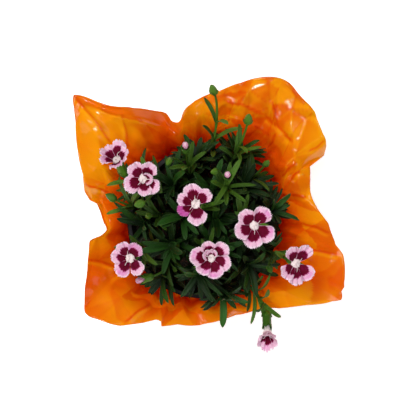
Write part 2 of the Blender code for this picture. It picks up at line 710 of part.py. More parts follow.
def grow_plant(garden):
    """The stems, leaves, calyces, buds and petals of the whole plant, by the names of their nodes."""
    plant = {"stems": {}, "leaves": {}, "cups": {}, "buds": {}, "tips": {}, "petals": {}}
    standing = [bud for bud in BUDS if bud.branch is None]
    tops = [Vector(bloom.throat) for bloom in BLOOMS] + [Vector(bud.foot) for bud in standing]
    tops += [shoot_top(k) for k in range(SHOOT_COUNT)]
    bases = spread_bases(tops)
    place_heads(garden, plant)
    for k, bloom in enumerate(BLOOMS):
        node = f"flower_stem_{k + 1:02d}"
        axis = axes_of(bloom.turn, bloom.lean)[0]
        end = Vector(bloom.throat) - axis * (CALYX_LENGTH - 0.0030)
        add_stem(garden, plant, node, grow_stem(garden, node, bases[k], end, axis, FLOWER_STEM_RADIUS))
    for k, bud in enumerate(BUDS):
        axis = axes_of(bud.turn, bud.lean)[0]
        end = Vector(bud.foot) + axis * 0.0018
        node = bud.branch or bud_node(k)
        if bud.branch:
            stem = branch_stem(plant["stems"][node][0], 0.60, end, axis, FLOWER_STEM_RADIUS * 0.85)
        else:
            base = bases[len(BLOOMS) + standing.index(bud)]
            stem = grow_stem(garden, node, base, end, axis, FLOWER_STEM_RADIUS * 0.85)
        add_stem(garden, plant, node, stem)
    grow_shoots(garden, plant, bases[len(BLOOMS) + len(standing):])
    grow_stem_leaves(garden, plant)
    return plant


def bud_node(index):
    return f"bud_stem_{index + 1:02d}"


def add_stem(garden, plant, node, stem):
    plant["stems"].setdefault(node, []).append(stem)
    plant["leaves"].setdefault(node, [])
    garden.add(node, *stem_mesh(stem))


def place_heads(garden, plant):
    """The calyces, blooms and buds, which keep their places: everything else grows round them."""
    for k, bloom in enumerate(BLOOMS):
        node, petals_node = f"flower_stem_{k + 1:02d}", f"bloom_{k + 1:02d}"
        cup = (Vector(bloom.throat), axes_of(bloom.turn, bloom.lean), CALYX_LENGTH, CALYX_RADIUS, FLOWER_STEM_RADIUS)
        plant["cups"][node] = [cup]
        garden.add(node, *cup_mesh(*cup))
        plant["petals"][petals_node] = bloom_petals(k)
        for petal in plant["petals"][petals_node]:
            garden.add(petals_node, *petal_mesh(petal))
    for k, bud in enumerate(BUDS):
        node = bud.branch or bud_node(k)
        axes = axes_of(bud.turn, bud.lean)
        radius = 0.0030 if bud.length > 0.0095 else 0.0023
        thin = FLOWER_STEM_RADIUS * 0.85
        if bud.pink:
            tip = (Vector(bud.foot) + axes[0] * bud.length * 0.72, axes, radius)
            cup = (tip[0], axes, bud.length * 0.72, radius, thin)
            plant["cups"].setdefault(node, []).append(cup)
            plant["tips"][f"bud_tip_{k + 1:02d}"] = tip
            garden.add(node, *cup_mesh(*cup))
            garden.add(f"bud_tip_{k + 1:02d}", *bud_tip_mesh(*tip))
        else:
            shape = (Vector(bud.foot), axes, bud.length, radius, thin)
            plant["buds"].setdefault(node, []).append(shape)
            garden.add(node, *closed_bud_mesh(*shape))


def grow_shoots(garden, plant, bases):
    """Leafy shoots all over the pot: first their stems, then their leaves from the top pair down."""
    for k in range(SHOOT_COUNT):
        node = f"leafy_shoot_{k + 1:02d}"
        top = shoot_top(k)
        outward = Vector((top.x, top.y, 0)) / SHOOT_REACH
        stem = grow_stem(garden, node, bases[k], top, (outward * 0.9 + UP).normalized(), SHOOT_RADIUS * 0.90)
        add_stem(garden, plant, node, stem)
    for pair in range(SHOOT_PAIRS - 1, -1, -1):
        for k in range(SHOOT_COUNT):
            node = f"leafy_shoot_{k + 1:02d}"
            draw = random.Random(1000 + 10 * k + pair)
            share = pair / (SHOOT_PAIRS - 1)
            if pair == 0 and k < SHOOT_COUNT // 2:
                continue
            t = 0.50 + 0.46 * share
            turn = k * 1.9 + pair * math.pi / 2 + draw.uniform(-0.25, 0.25)
            rise = math.radians(44 + 22 * share + draw.uniform(-8, 8))
            droop = math.radians(2 + 30 * share + draw.uniform(-14, 10))
            length = LEAF_LENGTH * draw.uniform(0.85, 1.15) * (1 - 0.18 * share)
            width = LEAF_WIDTH * draw.uniform(0.88, 1.12)
            stem = plant["stems"][node][0]
            plant["leaves"][node] += leaf_pair(garden, node, stem, t, turn, rise, droop, length, width)


def grow_stem_leaves(garden, plant):
    """Narrow leaf pairs at the joints of the flower and bud stems."""
    for node, stems in plant["stems"].items():
        if node.startswith("leafy"):
            continue
        draw = random.Random(int(node[-2:]) + (500 if node.startswith("bud") else 720))
        for t in (0.78, 0.46) if node.startswith("flower") else (0.66,):
            turn = draw.uniform(0, math.pi)
            length = LEAF_LENGTH * draw.uniform(0.55, 0.85)
            rise, droop = math.radians(58), math.radians(14)
            width = LEAF_WIDTH * 0.72
            plant["leaves"][node] += leaf_pair(garden, node, stems[0], t, turn, rise, droop, length, width)


# Building the nodes from what has grown


def build_node(name, shapes, finish):
    """One object from overlapping shapes, joined by one Boolean union."""
    objects = [add_object(name if k == 0 else f"{name}_{k}", *shape, finish) for k, shape in enumerate(shapes)]
    if len(objects) > 1:
        boolean_with(objects[0], objects[1:], "UNION", "MANIFOLD")


def build_plant(plant, leaf_green, stem_green, petal_pink, bud_pink):
    for node, stems in plant["stems"].items():
        leafy = node.startswith("leafy")
        shapes = [stem_mesh(stem) for stem in stems]
        shapes += [cup_mesh(*cup) for cup in plant["cups"].get(node, [])]
        shapes += [closed_bud_mesh(*bud) for bud in plant["buds"].get(node, [])]
        shapes += [blade_mesh(leaf) for leaf in plant["leaves"][node]]
        build_node(node, shapes, leaf_green if leafy else stem_green)
    for node, petals in plant["petals"].items():
        shapes = [bloom_heart_mesh(petals[0].place, petals[0].axes)]
        shapes += [petal_mesh(petal) for petal in petals]
        build_node(node, shapes, petal_pink)
    for node, tip in plant["tips"].items():
        build_node(node, [bud_tip_mesh(*tip)], bud_pink)


def shade_smoothly():
    for obj in bpy.data.objects:
        obj.data.shade_smooth()
        obj.data.set_sharp_from_angle(angle=math.radians(40))


def main():
    remove_startup_objects()
    black_plastic = material("black_plastic", (0.020, 0.020, 0.022), 0.45)
    peat = material("peat", (0.045, 0.028, 0.018), 0.95)
    orange_film = material("orange_film", (0.90, 0.30, 0.01), 0.18)
    leaf_green = material("leaf_green", (0.030, 0.095, 0.030), 0.50)
    stem_green = material("stem_green", (0.090, 0.200, 0.050), 0.50)
    petal_pink = material("petal_pink", (0.820, 0.420, 0.620), 0.60)
    bud_pink = material("bud_pink", (0.850, 0.520, 0.660), 0.60)
    garden = Garden()
    for obj in (make_pot(black_plastic), make_wrap(orange_film)):
        verts = [obj.matrix_basis @ v.co for v in obj.data.vertices]
        garden.add(obj.name, verts, [tuple(p.vertices) for p in obj.data.polygons])
    ground = turned(((0, SOIL_Z - 0.004), (0.056, SOIL_Z - 0.004), (0.056, SOIL_Z + 0.0016), (0, SOIL_Z + 0.0016)), 12)
    garden.add("soil", *ground)
    plant = grow_plant(garden)
    make_soil([stems[0] for stems in plant["stems"].values()], peat)
    build_plant(plant, leaf_green, stem_green, petal_pink, bud_pink)
    shade_smoothly()


main()
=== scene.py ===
"""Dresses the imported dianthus: fine leaves, stalks, calyces, toothed petals, buds, peat and gathered film.

Run as a script. Metres, +Z up. The picture's right is +X and its top is +Y.
"""

import math
import random
from collections import namedtuple

import bpy
import numpy as np
from bpy.props import FloatProperty, FloatVectorProperty, IntProperty, PointerProperty
from mathutils import Matrix, Vector, noise
from mathutils.bvhtree import BVHTree
from mathutils.geometry import delaunay_2d_cdt


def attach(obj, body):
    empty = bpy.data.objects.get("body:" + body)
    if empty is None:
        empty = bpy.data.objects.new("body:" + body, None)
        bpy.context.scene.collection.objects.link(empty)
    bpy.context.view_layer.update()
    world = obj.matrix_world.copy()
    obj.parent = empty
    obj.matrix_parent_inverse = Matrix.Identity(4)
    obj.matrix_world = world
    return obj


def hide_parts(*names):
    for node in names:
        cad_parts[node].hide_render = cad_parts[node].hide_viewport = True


bl_info = {
    "name": "Potted dianthus",
    "version": (1, 0, 0),
    "blender": (4, 5, 0),
    "location": "View3D > Sidebar > Dianthus",
    "description": "Builds the leaves, blooms, buds, peat and film of a potted dianthus",
    "category": "Object",
}

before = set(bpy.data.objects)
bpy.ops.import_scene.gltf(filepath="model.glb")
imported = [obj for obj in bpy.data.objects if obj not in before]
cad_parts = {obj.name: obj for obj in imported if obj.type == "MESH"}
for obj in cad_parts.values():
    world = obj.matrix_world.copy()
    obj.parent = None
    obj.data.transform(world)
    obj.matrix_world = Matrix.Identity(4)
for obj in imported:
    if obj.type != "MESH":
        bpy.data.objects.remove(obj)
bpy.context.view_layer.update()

# The source's own dimensions, which the fine pieces are built round
POT_HEIGHT = 0.0950
POT_RIM_RADIUS = 0.0600
POT_BASE_RADIUS = 0.0430
POT_WALL = 0.0012
RIM_BAND_HEIGHT = 0.0080
RIM_BAND_DEPTH = 0.0022
GAP = 0.0003
FILM_THICKNESS = 0.0008
SOIL_BELOW_RIM = 0.0120
HOLE_DEPTH = 0.0100

# Heights and a radius worked out from them
POT_FLOOR_Z = FILM_THICKNESS + GAP
RIM_Z = POT_FLOOR_Z + POT_HEIGHT
SOIL_Z = RIM_Z - SOIL_BELOW_RIM
WALL_TOP_RADIUS = POT_RIM_RADIUS - RIM_BAND_DEPTH

# The wrap's upper edge, counter-clockwise: (angle in degrees, reach from the axis, lift over the pot's rim)
FILM_EDGE = (
    (8, 0.085, 0.014), (17, 0.083, 0.012), (29, 0.092, 0.026), (33, 0.105, 0.042), (38, 0.110, 0.046),
    (46, 0.118, 0.048), (53, 0.121, 0.048), (60, 0.125, 0.050), (68, 0.119, 0.052), (75, 0.112, 0.050),
    (83, 0.101, 0.042), (94, 0.093, 0.032), (99, 0.089, 0.024), (104, 0.082, 0.014), (110, 0.088, 0.022),
    (121, 0.102, 0.036), (128, 0.113, 0.042), (135, 0.133, 0.046), (142, 0.121, 0.046), (150, 0.109, 0.042),
    (159, 0.097, 0.032), (167, 0.087, 0.016), (177, 0.079, 0.008), (184, 0.077, 0.012), (189, 0.088, 0.024),
    (202, 0.096, 0.038), (210, 0.104, 0.042), (218, 0.111, 0.042), (226, 0.101, 0.040), (235, 0.089, 0.032),
    (245, 0.080, 0.024), (258, 0.076, 0.014), (272, 0.072, 0.010), (286, 0.074, 0.008), (299, 0.078, 0.010),
    (309, 0.081, 0.018), (320, 0.094, 0.030), (331, 0.114, 0.040), (337, 0.111, 0.042), (348, 0.104, 0.040),
    (358, 0.093, 0.026),
)
FILM_CLEAR = 0.0006

Bloom = namedtuple("Bloom", "throat turn lean cup length petals")
Bud = namedtuple("Bud", "foot turn lean length pink branch")

# Blooms: the throat's place, the way the face turns, its lean from upright and the petals' final angle over
# the face in degrees, their length, and for each petal (turn, share of the length, half width over length)
BLOOMS = (
    Bloom((-0.0630, 0.0455, 0.1530), 114, 36, 16, 0.0156,
          ((150, 1.02, 0.48), (82, 1.05, 0.48), (215, 1.00, 0.48), (285, 0.95, 0.46), (12, 0.95, 0.46))),
    Bloom((-0.0430, 0.0340, 0.1690), 250, 10, 8, 0.0172,
          ((127, 1.00, 0.46), (202, 1.02, 0.52), (58, 1.02, 0.40), (325, 0.98, 0.44), (278, 0.86, 0.40),
           (12, 0.62, 0.50))),
    Bloom((-0.0045, 0.0145, 0.1770), 150, 8, 4, 0.0172,
          ((102, 1.00, 0.46), (38, 0.96, 0.34), (160, 0.92, 0.34), (208, 0.96, 0.34), (282, 1.12, 0.42))),
    Bloom((0.0376, -0.0006, 0.1730), 285, 8, 2, 0.0180,
          ((132, 0.94, 0.42), (57, 1.04, 0.52), (197, 0.98, 0.48), (262, 1.02, 0.50), (328, 1.02, 0.54))),
    Bloom((-0.0530, -0.0250, 0.1590), 210, 12, 8, 0.0168,
          ((52, 0.98, 0.50), (114, 1.00, 0.38), (164, 0.94, 0.38), (236, 1.02, 0.50), (314, 1.00, 0.48))),
    Bloom((0.0060, -0.0240, 0.1710), 300, 6, 2, 0.0168,
          ((40, 1.02, 0.50), (335, 1.02, 0.46), (283, 1.04, 0.46), (230, 0.96, 0.44), (172, 1.10, 0.42),
           (108, 0.84, 0.44), (140, 0.60, 0.52), (80, 0.55, 0.50))),
    Bloom((0.0685, -0.0290, 0.1570), 330, 10, 6, 0.0172,
          ((113, 1.00, 0.36), (60, 1.14, 0.30), (220, 0.98, 0.36), (262, 1.08, 0.30), (316, 1.02, 0.54))),
    Bloom((0.0491, -0.0795, 0.1310), 270, 50, 42, 0.0164,
          ((265, 1.05, 0.38), (195, 0.95, 0.36), (338, 0.95, 0.36), (125, 0.80, 0.38), (52, 0.80, 0.38),
           (300, 0.58, 0.36), (225, 0.55, 0.36))),
)
# Buds: the foot's place, the way it points and its lean from upright in degrees, its length, whether the
# petals show, and the stem it branches from if it has none of its own
BUDS = (
    Bud((0.0090, 0.0970, 0.1540), 115, 34, 0.0120, False, None),
    Bud((0.0334, 0.0750, 0.1540), 80, 30, 0.0130, False, None),
    Bud((-0.0124, 0.0540, 0.1560), 95, 20, 0.0130, True, None),
    Bud((0.0187, 0.0340, 0.1600), 100, 12, 0.0120, True, None),
    Bud((-0.0660, 0.0180, 0.1360), 150, 52, 0.0110, False, None),
    Bud((-0.0404, 0.0060, 0.1450), 190, 8, 0.0080, False, None),
    Bud((-0.0380, -0.0400, 0.1380), 195, 62, 0.0120, True, None),
    Bud((0.0470, 0.0440, 0.1340), 50, 40, 0.0080, False, None),
    Bud((-0.0436, 0.0160, 0.1660), 200, 45, 0.0100, False, "flower_stem_02"),
    Bud((0.0500, -0.0322, 0.1405), 290, 34, 0.0090, False, "flower_stem_07"),
    Bud((-0.0240, 0.0490, 0.1440), 240, 40, 0.0090, False, "bud_stem_03"),
    Bud((0.0110, 0.0400, 0.1470), 200, 36, 0.0090, False, "bud_stem_04"),
)
CALYX_LENGTH = 0.0150
CALYX_RADIUS = 0.0034
CALYX_WALL = 0.0008
CALYX_RECESS = 0.0070
CALYX_SIDES = 8
CALYX_TOOTH = 0.0014
LIP = 0.0003
FLOWER_STEM_RADIUS = 0.0011
PETAL_THICKNESS = 0.0007
PETAL_START = 0.0012
PETAL_FOOT_HALF_WIDTH = 0.0006
PETAL_FOOT_HEIGHT = 0.0010
PETAL_ROWS = (0.0, 0.38, 0.72, 1.0)
PETAL_COLUMNS = (-1.0, -0.5, 0.0, 0.5, 1.0)
PETAL_TOOTH = 0.045
PETAL_WAVE = 0.0013

# Leafy shoots
SHOOT_COUNT = 17
SHOOT_REACH = 0.0600
SHOOT_TOP_MIDDLE = 0.0510
SHOOT_TOP_EDGE = 0.0260
SHOOT_RADIUS = 0.0011
SHOOT_PAIRS = 4
LEAF_LENGTH = 0.0300
LEAF_WIDTH = 0.0052
LEAF_THICKNESS = 0.0011
LEAF_STATIONS = (0.0, 0.25, 0.74)
BASE_REACH = 0.0360
BASE_SPACING = 0.0078
SPREAD_ROUNDS = 80
STEM_TRIES = 40
STEM_STANDS_CLEAR = 0.0022
BRANCH_TWIST = 0.6
BUD_STEM_SHARE = 0.85
GOLDEN_ANGLE = math.radians(137.508)
SPARE = 0.0003

UP = Vector((0, 0, 1))
Blade = namedtuple("Blade", "root out up rise droop length width")
Stem = namedtuple("Stem", "foot start lift middle end start_radius end_radius")
Petal = namedtuple("Petal", "place axes turn length half_width rise droop tilt seed")

# The petals: teeth in a rim, the deep pink petals by (bloom, petal), how much wider some blooms' petals are
# than their solids, and how the short inner petals are longer and lean out. Then the fine sheets' thickness,
# the scales' width, and a stalk's joints as a share of its length
TEETH_ACROSS = 15
FLUSHED = {(2, 3): 0.9, (4, 0): 0.35}
FULLER = {0: 1.12, 7: 1.42}
USUAL_FULLER = 1.07
INNER_LONGER = 1.15
INNER_LEANS_OUT = math.radians(32)
PETAL_SHEET = 0.00035
LEAF_SHEET = 0.0005
SCALE_WIDTH = 0.0030
JOINT_BREADTH = 0.022

# The film sheet: its thickness, its flat size and its gathers round the pot. Its mesh's rows run from 0 to 1
# under the pot, up the wall and over the flare, each over a share, and a number of them lie on each stretch
FILM_SHEET = 0.00012
GATHERS = 26
GATHER_DEPTH = 0.0034
FILM_MIDDLE = FILM_THICKNESS / 2
FILM_FOOT_RADIUS = POT_BASE_RADIUS + FILM_CLEAR + FILM_MIDDLE
FILM_BAND_RADIUS = POT_RIM_RADIUS + FILM_CLEAR
FILM_BAND_Z = RIM_Z - RIM_BAND_HEIGHT - FILM_MIDDLE
UNDER_SHARE, WALL_SHARE, FLARE_SHARE = 0.12, 0.33, 0.55
FLARE_FROM = 0.45
WALL_ROWS, FLARE_ROWS, FILM_SECTORS = 9, 50, 760
# Its crumpled facets: the lengths that they are laid out over, their numbers and their height, then the
# further ones where it is crushed and the middle and breadth in degrees of that stretch
FILM_ROUND = 0.56
FILM_ALONG = 0.066
FACETS_ROUND = 30
FACETS_ALONG = 5
FACET_HEIGHT = 0.0030
CRUSHED_SPOTS = 34
CRUSHED_AT, CRUSHED_HALF = 48, 26
CREASE_HALF_WIDTH = 0.0011
# Its cut edge flutters a little. Besides that: (angle in degrees, mm that it lies outside the plain edge),
# with a step where a fold ends
FLUTTER_DEGREES = 7.5
FLUTTER_OUT = 0.0008
EDGE_STEPS = (
    (0, 5), (22, 5), (28.0, 3), (29.2, 15), (33, 7), (42, 2.5), (50, 0), (66, 0), (75, -2), (85, 1),
    (97, 1), (100.8, 0), (101.8, -1), (107.0, 0), (108.2, 5), (115, 3), (126, 0.5), (131, 0), (135, 5),
    (138, 1), (148, 1), (158, 1), (165, 6), (168.5, 5), (169.5, 0), (180, 1), (187.0, -4), (188.2, 0),
    (194, -1), (205, -2), (214, 0), (217, 2), (222, 1), (231, 6), (239, 4.5), (244, 2.5), (247.0, 4),
    (248.0, 8), (256, 5), (268, 7.5), (276, 6), (290, 1), (305, 2), (312, 5), (322, 4), (329, 3), (331, 6),
    (334, 3), (336, 6), (343, 5), (347.5, 4.5), (351, 1), (356, 3), (360, 5),
)
# The sharp folds in its lobes, in plan: from and to in mm, then the height and the half breadth in metres
FOLDS = (
    ((15, 94), (47, 83), 0.0020, 0.0045), ((46, 84), (70, 61), -0.0026, 0.0050),
    ((52, 93), (57, 76), 0.0022, 0.0030), ((38, 76), (52, 67), 0.0018, 0.0035),
    ((56, 70), (50, 58), -0.0018, 0.0030), ((84, 88), (93, 64), 0.0016, 0.0050),
    ((93, 64), (80, 55), -0.0020, 0.0040), ((-99, 99), (-68, 58), 0.0020, 0.0050),
    ((-62, 84), (-58, 58), 0.0014, 0.0040), ((-92, 30), (-70, 22), 0.0016, 0.0040),
    ((62, 36), (72, 47), 0.0022, 0.0030), ((68, 33), (76, 41), -0.0018, 0.0030),
    ((60, 22), (82, 20), 0.0016, 0.0040), ((76, 0), (98, -8), 0.0014, 0.0040),
    ((72, -20), (104, -24), 0.0016, 0.0045), ((-96, -26), (-66, -34), 0.0016, 0.0050),
    ((-60, -76), (-40, -62), 0.0014, 0.0040), ((40, -78), (58, -66), 0.0014, 0.0040),
)

# The disc that stands for the soil while the plant grows, the crumbs of peat, and the rounds in which further
# leaves fill the plant
SOIL_DISC_RADIUS = 0.056
CRUMBS = 420
CRUMB_CLEAR = 0.0021
INFILL_ROUNDS = 12
STALK_INFILL_ROUNDS = 4
RIM_ROUNDS = 4

# The stage. Lights: name, place, the height aimed at, size, share of the power, colour
CAMERA_LENS = 120.55
CAMERA_PLACE = (0.00395, 0.01184, 1.195)
FLOOR_Z = -0.0004
FLOOR_HALF = 3.0
FLOOR_GLOW = 0.60
ROOM_GLOW = 0.08
WHITE = (1.0, 1.0, 1.0, 1.0)
LIGHTS = (
    ("overhead_light", (-0.5, 0.7, 1.9), 0.08, 1.1, 1.0, (1.0, 0.99, 0.97)),
    ("side_light", (1.6, -0.6, 1.1), 0.08, 1.0, 0.20, WHITE[:3]),
    ("glint_light", (0.0, -0.94, 1.27), 0.1, 0.11, 0.20, WHITE[:3]),
    ("second_glint_light", (-0.75, -0.75, 1.17), 0.1, 0.10, 0.12, WHITE[:3]),
)


# The same growth rule as the part's source, so that each fine piece stands where its node stands


def way(side, other, angle):
    """The direction at an angle from side towards other."""
    return side * math.cos(angle) + other * math.sin(angle)


def polar(radius, angle, height=0):
    return Vector((radius * math.cos(angle), radius * math.sin(angle), height))


def sides_of(axis):
    """Two directions across an axis. For an upright one the first is +X."""
    side = Vector((0, 1, 0)).cross(axis).normalized()
    return side, axis.cross(side)


def numbered(kind, index):
    return f"{kind}_{index + 1:02d}"


def ring_quads(rings, sides):
    """The corners' numbers of the quads between rings of points."""
    for i in range(rings - 1):
        for k in range(sides):
            a, b = i * sides + k, i * sides + (k + 1) % sides
            yield a, b, b + sides, a + sides


def grid_quads(rows, columns):
    """The corners' numbers of the quads of a grid of points."""
    for i in range(rows - 1):
        for j in range(columns - 1):
            a = i * columns + j
            yield a, a + 1, a + 1 + columns, a + columns


def grid_rim(rows, columns):
    """The numbers of a grid's outer points, in order round it."""
    rim = list(range(columns)) + [i * columns + columns - 1 for i in range(1, rows)]
    rim += [(rows - 1) * columns + j for j in range(columns - 2, -1, -1)]
    return rim + [i * columns for i in range(rows - 2, 0, -1)]


def turned(profile, sides):
    """Vertices and faces of a closed profile of (radius, height) turned about Z. Radius 0 is one vertex."""
    verts, rings = [], []
    for radius, height in profile:
        if radius == 0:
            rings.append([len(verts)] * sides)
            verts.append(Vector((0, 0, height)))
            continue
        rings.append(list(range(len(verts), len(verts) + sides)))
        for k in range(sides):
            angle = 2 * math.pi * k / sides
            verts.append(polar(radius, angle, height))
    faces = []
    for lower, upper in zip(rings, rings[1:]):
        for k in range(sides):
            n = (k + 1) % sides
            for face in ((lower[k], lower[n], upper[n]), (lower[k], upper[n], upper[k])):
                if len(set(face)) == 3:
                    faces.append(face)
    return verts, faces


def wall_radius(z):
    """Outer radius of the pot's tapered wall at a height over its foot."""
    return POT_BASE_RADIUS + (WALL_TOP_RADIUS - POT_BASE_RADIUS) * z / POT_HEIGHT


def film_edge(angle):
    """(reach, lift) of the wrap's upper edge at an angle in degrees, on a smooth curve through FILM_EDGE."""
    count = len(FILM_EDGE)
    angle %= 360
    after = next((k for k, point in enumerate(FILM_EDGE) if point[0] > angle), 0)
    picked = [FILM_EDGE[(after + k) % count] for k in (-2, -1, 0, 1)]
    start, end = picked[1][0], picked[2][0]
    span = (end - start) % 360
    t = ((angle - start) % 360) / span
    return tuple(smooth_between(*(point[axis] for point in picked), t) for axis in (1, 2))


def smooth_between(before, start, end, after, t):
    """A Catmull-Rom curve's value between start and end."""
    slope_in = (end - before) / 2
    slope_out = (after - start) / 2
    shape = (2 * t**3 - 3 * t**2 + 1, t**3 - 2 * t**2 + t, -2 * t**3 + 3 * t**2, t**3 - t**2)
    return shape[0] * start + shape[1] * slope_in + shape[2] * end + shape[3] * slope_out


def tube(points, radii, sides, twist=0.0):
    """A closed tube through points, with one ring of corners at each, turned by twist."""
    verts, faces = [], []
    count = len(points)
    for k, point in enumerate(points):
        along = (points[min(k + 1, count - 1)] - points[max(k - 1, 0)]).normalized()
        side = along.cross(Vector((0.31, 0.95, 0.02))).normalized()
        other = along.cross(side)
        for j in range(sides):
            angle = 2 * math.pi * j / sides + twist
            verts.append(point + radii[k] * way(side, other, angle))
    for a, b, c, d in ring_quads(count, sides):
        faces += [(a, b, c), (a, c, d)]
    faces.append(tuple(range(sides - 1, -1, -1)))
    faces.append(tuple(range((count - 1) * sides, count * sides)))
    return verts, faces


def stem_point(stem, t):
    """A point on the stem's curve, which leaves the soil upright and meets its head along the head's axis."""
    s = 1 - t
    return s**3 * stem.start + 3 * s * s * t * stem.lift + 3 * s * t * t * stem.middle + t**3 * stem.end


def stem_direction(stem, t):
    return (stem_point(stem, min(t + 0.02, 1)) - stem_point(stem, max(t - 0.02, 0))).normalized()


def stem_mesh(stem, spare=0.0):
    rings, sides = 4, 5
    points = [stem_point(stem, k / (rings - 1)) for k in range(rings)]
    thinner = stem.end_radius - stem.start_radius
    radii = [stem.start_radius + thinner * k / (rings - 1) + spare for k in range(rings)]
    if stem.foot is not None:
        points.insert(0, stem.foot)
        radii.insert(0, stem.start_radius + spare)
    return tube(points, radii, sides, 0.0 if stem.foot else BRANCH_TWIST)


def blade_point(blade, t):
    """(point, direction) on a blade's midline, which bends from the rise angle to the droop angle."""
    bend = blade.droop - blade.rise
    angle = blade.rise + bend * t
    forward = blade.length * (math.sin(angle) - math.sin(blade.rise)) / bend
    upward = blade.length * (math.cos(blade.rise) - math.cos(angle)) / bend
    point = blade.root + blade.out * forward + blade.up * upward
    return point, way(blade.out, blade.up, angle)


def blade_share(t):
    """Share of a leaf's full width along it: a narrow root in the stem, then a strap, then a point."""
    if t < 0.25:
        return 0.16 + 0.74 * math.sin(math.pi / 2 * t / 0.25)
    return (0.90 + 0.10 * math.sin(math.pi * (t - 0.25))) * (1 - ((t - 0.25) / 0.75) ** 5)


def blade_mesh(blade, spare=0.0):
    """A keeled blade: three corners at each station, and a pointed tip."""
    verts, faces = [], []
    side = blade.out.cross(blade.up).normalized()
    for t in LEAF_STATIONS:
        point, along = blade_point(blade, t)
        face = side.cross(along).normalized()
        half = blade.width / 2 * blade_share(t) + spare
        thick = LEAF_THICKNESS * (1 - 0.25 * t) + spare
        rise = 0.12 * half + spare
        verts += [point + side * half + face * rise, point - side * half + face * rise, point - face * thick]
    tip, along = blade_point(blade, 1.0)
    verts.append(tip + along * spare)
    rings = len(LEAF_STATIONS)
    for a, b, c, d in ring_quads(rings, 3):
        faces += [(a, c, b), (a, d, c)]
    last = 3 * (rings - 1)
    faces += [(last + (j + 1) % 3, last + j, 3 * rings) for j in range(3)]
    faces.append((0, 1, 2))
    return verts, faces


def axes_of(turn_degrees, lean_degrees):
    """(axis, side, other side) of a head that leans from upright towards a turn. Upright, side is +X."""
    turn, lean = math.radians(turn_degrees), math.radians(lean_degrees)
    axis = polar(math.sin(lean), turn, math.cos(lean))
    return (axis, *sides_of(axis))


def about_axis(profile, sides, place, axes, teeth=()):
    """A closed profile of (radius, height) turned about a head's axis.

    Rings listed in teeth rise at every other corner.
    """
    axis, side, other = axes
    verts, faces = turned(profile, sides)
    rows = []
    for row, (radius, _) in enumerate(profile):
        rows += [(row, k) for k in range(1 if radius == 0 else sides)]
    placed = []
    for v, (row, corner) in zip(verts, rows):
        rise = CALYX_TOOTH if row in teeth and corner % 2 == 0 else 0.0
        placed.append(place + side * v.x + other * v.y + axis * (v.z + rise))
    return placed, faces


def cup_mesh(mouth, axes, length, radius, stem_radius):
    """A calyx: a toothed tube with a deep recess, whose mouth's centre is at mouth."""
    wall = CALYX_WALL
    recess = min(CALYX_RECESS, 0.6 * length)
    mouth_radius = radius + LIP
    profile = (
        (0, -length), (stem_radius + LIP, -length), (radius, -0.62 * length), (mouth_radius, 0),
        (mouth_radius - wall, 0), (radius - wall, -0.5 * recess),
        (0.8 * (radius - wall), -recess), (0, -recess),
    )
    return about_axis(profile, CALYX_SIDES, mouth, axes, teeth=(3, 4))


def closed_bud_mesh(foot, axes, length, radius, stem_radius):
    """A shut bud with a pointed end, its base at foot."""
    profile = (
        (0, 0), (stem_radius + LIP, 0), (radius, 0.35 * length),
        (0.85 * radius, 0.70 * length), (0, length),
    )
    return about_axis(profile, 7, foot, axes)


def bud_tip_mesh(mouth, axes, radius):
    """The furled petals that show from an opening bud, on a plug that stands in the calyx."""
    plug = radius - CALYX_WALL - GAP - 0.0002
    profile = (
        (0, -0.0040), (0.7 * plug, -0.0040), (plug, 0.0002),
        (1.30 * plug, 0.0030), (0.85 * plug, 0.0052), (0, 0.0060),
    )
    return about_axis(profile, 8, mouth, axes)


def slab(grid, thickness):
    """A closed sheet about a grid of points, split into triangles alike on both faces."""
    rows, columns = len(grid), len(grid[0])
    top, bottom = [], []
    for i in range(rows):
        for j in range(columns):
            along = grid[min(i + 1, rows - 1)][j] - grid[max(i - 1, 0)][j]
            across = grid[i][min(j + 1, columns - 1)] - grid[i][max(j - 1, 0)]
            normal = along.cross(across).normalized()
            top.append(grid[i][j] - normal * thickness / 2)
            bottom.append(grid[i][j] + normal * thickness / 2)
    count = rows * columns
    faces = []
    for a, b, c, d in grid_quads(rows, columns):
        faces += [(a, b, c), (a, c, d)]
        faces += [(a + count, c + count, b + count), (a + count, d + count, c + count)]
    rim = grid_rim(rows, columns)
    for a, b in zip(rim, rim[1:] + rim[:1]):
        faces += [(a, a + count, b + count), (a, b + count, b)]
    return top + bottom, faces


def petal_point(petal, u, v):
    """A point on a petal: u runs across from -1 to 1, v from its foot in the throat to its outer edge."""
    axis, side, other = petal.axes
    reach = v * (1 - 0.5 * petal.half_width / petal.length * abs(u) ** 2.2)
    bend = petal.droop - petal.rise
    angle = petal.rise + bend * reach
    radius = PETAL_START + petal.length * (math.sin(angle) - math.sin(petal.rise)) / bend
    height = PETAL_FOOT_HEIGHT + petal.length * (math.cos(petal.rise) - math.cos(angle)) / bend
    half = PETAL_FOOT_HALF_WIDTH + (petal.half_width - PETAL_FOOT_HALF_WIDTH) * v ** 1.3
    turn = petal.turn + u * half / radius
    ruffle = math.sin(4.2 * u + petal.seed) + 0.7 * math.sin(9.0 * u + 2.3 * petal.seed)
    lift = u * half * math.sin(petal.tilt) + 0.5 * PETAL_WAVE * v * v * ruffle
    out = way(side, other, turn)
    return petal.place + out * radius + axis * (height + lift)


def petal_mesh(petal):
    inner = petal.tilt < 0.1
    rows = PETAL_ROWS[::3] if inner else PETAL_ROWS
    columns = PETAL_COLUMNS[::2] if inner else PETAL_COLUMNS
    grid = []
    for v in rows:
        line = []
        for k, u in enumerate(columns):
            tooth = PETAL_TOOTH if v == 1.0 and k % 2 else 0.0
            line.append(petal_point(petal, u, v - tooth))
        grid.append(line)
    return slab(grid, PETAL_THICKNESS)


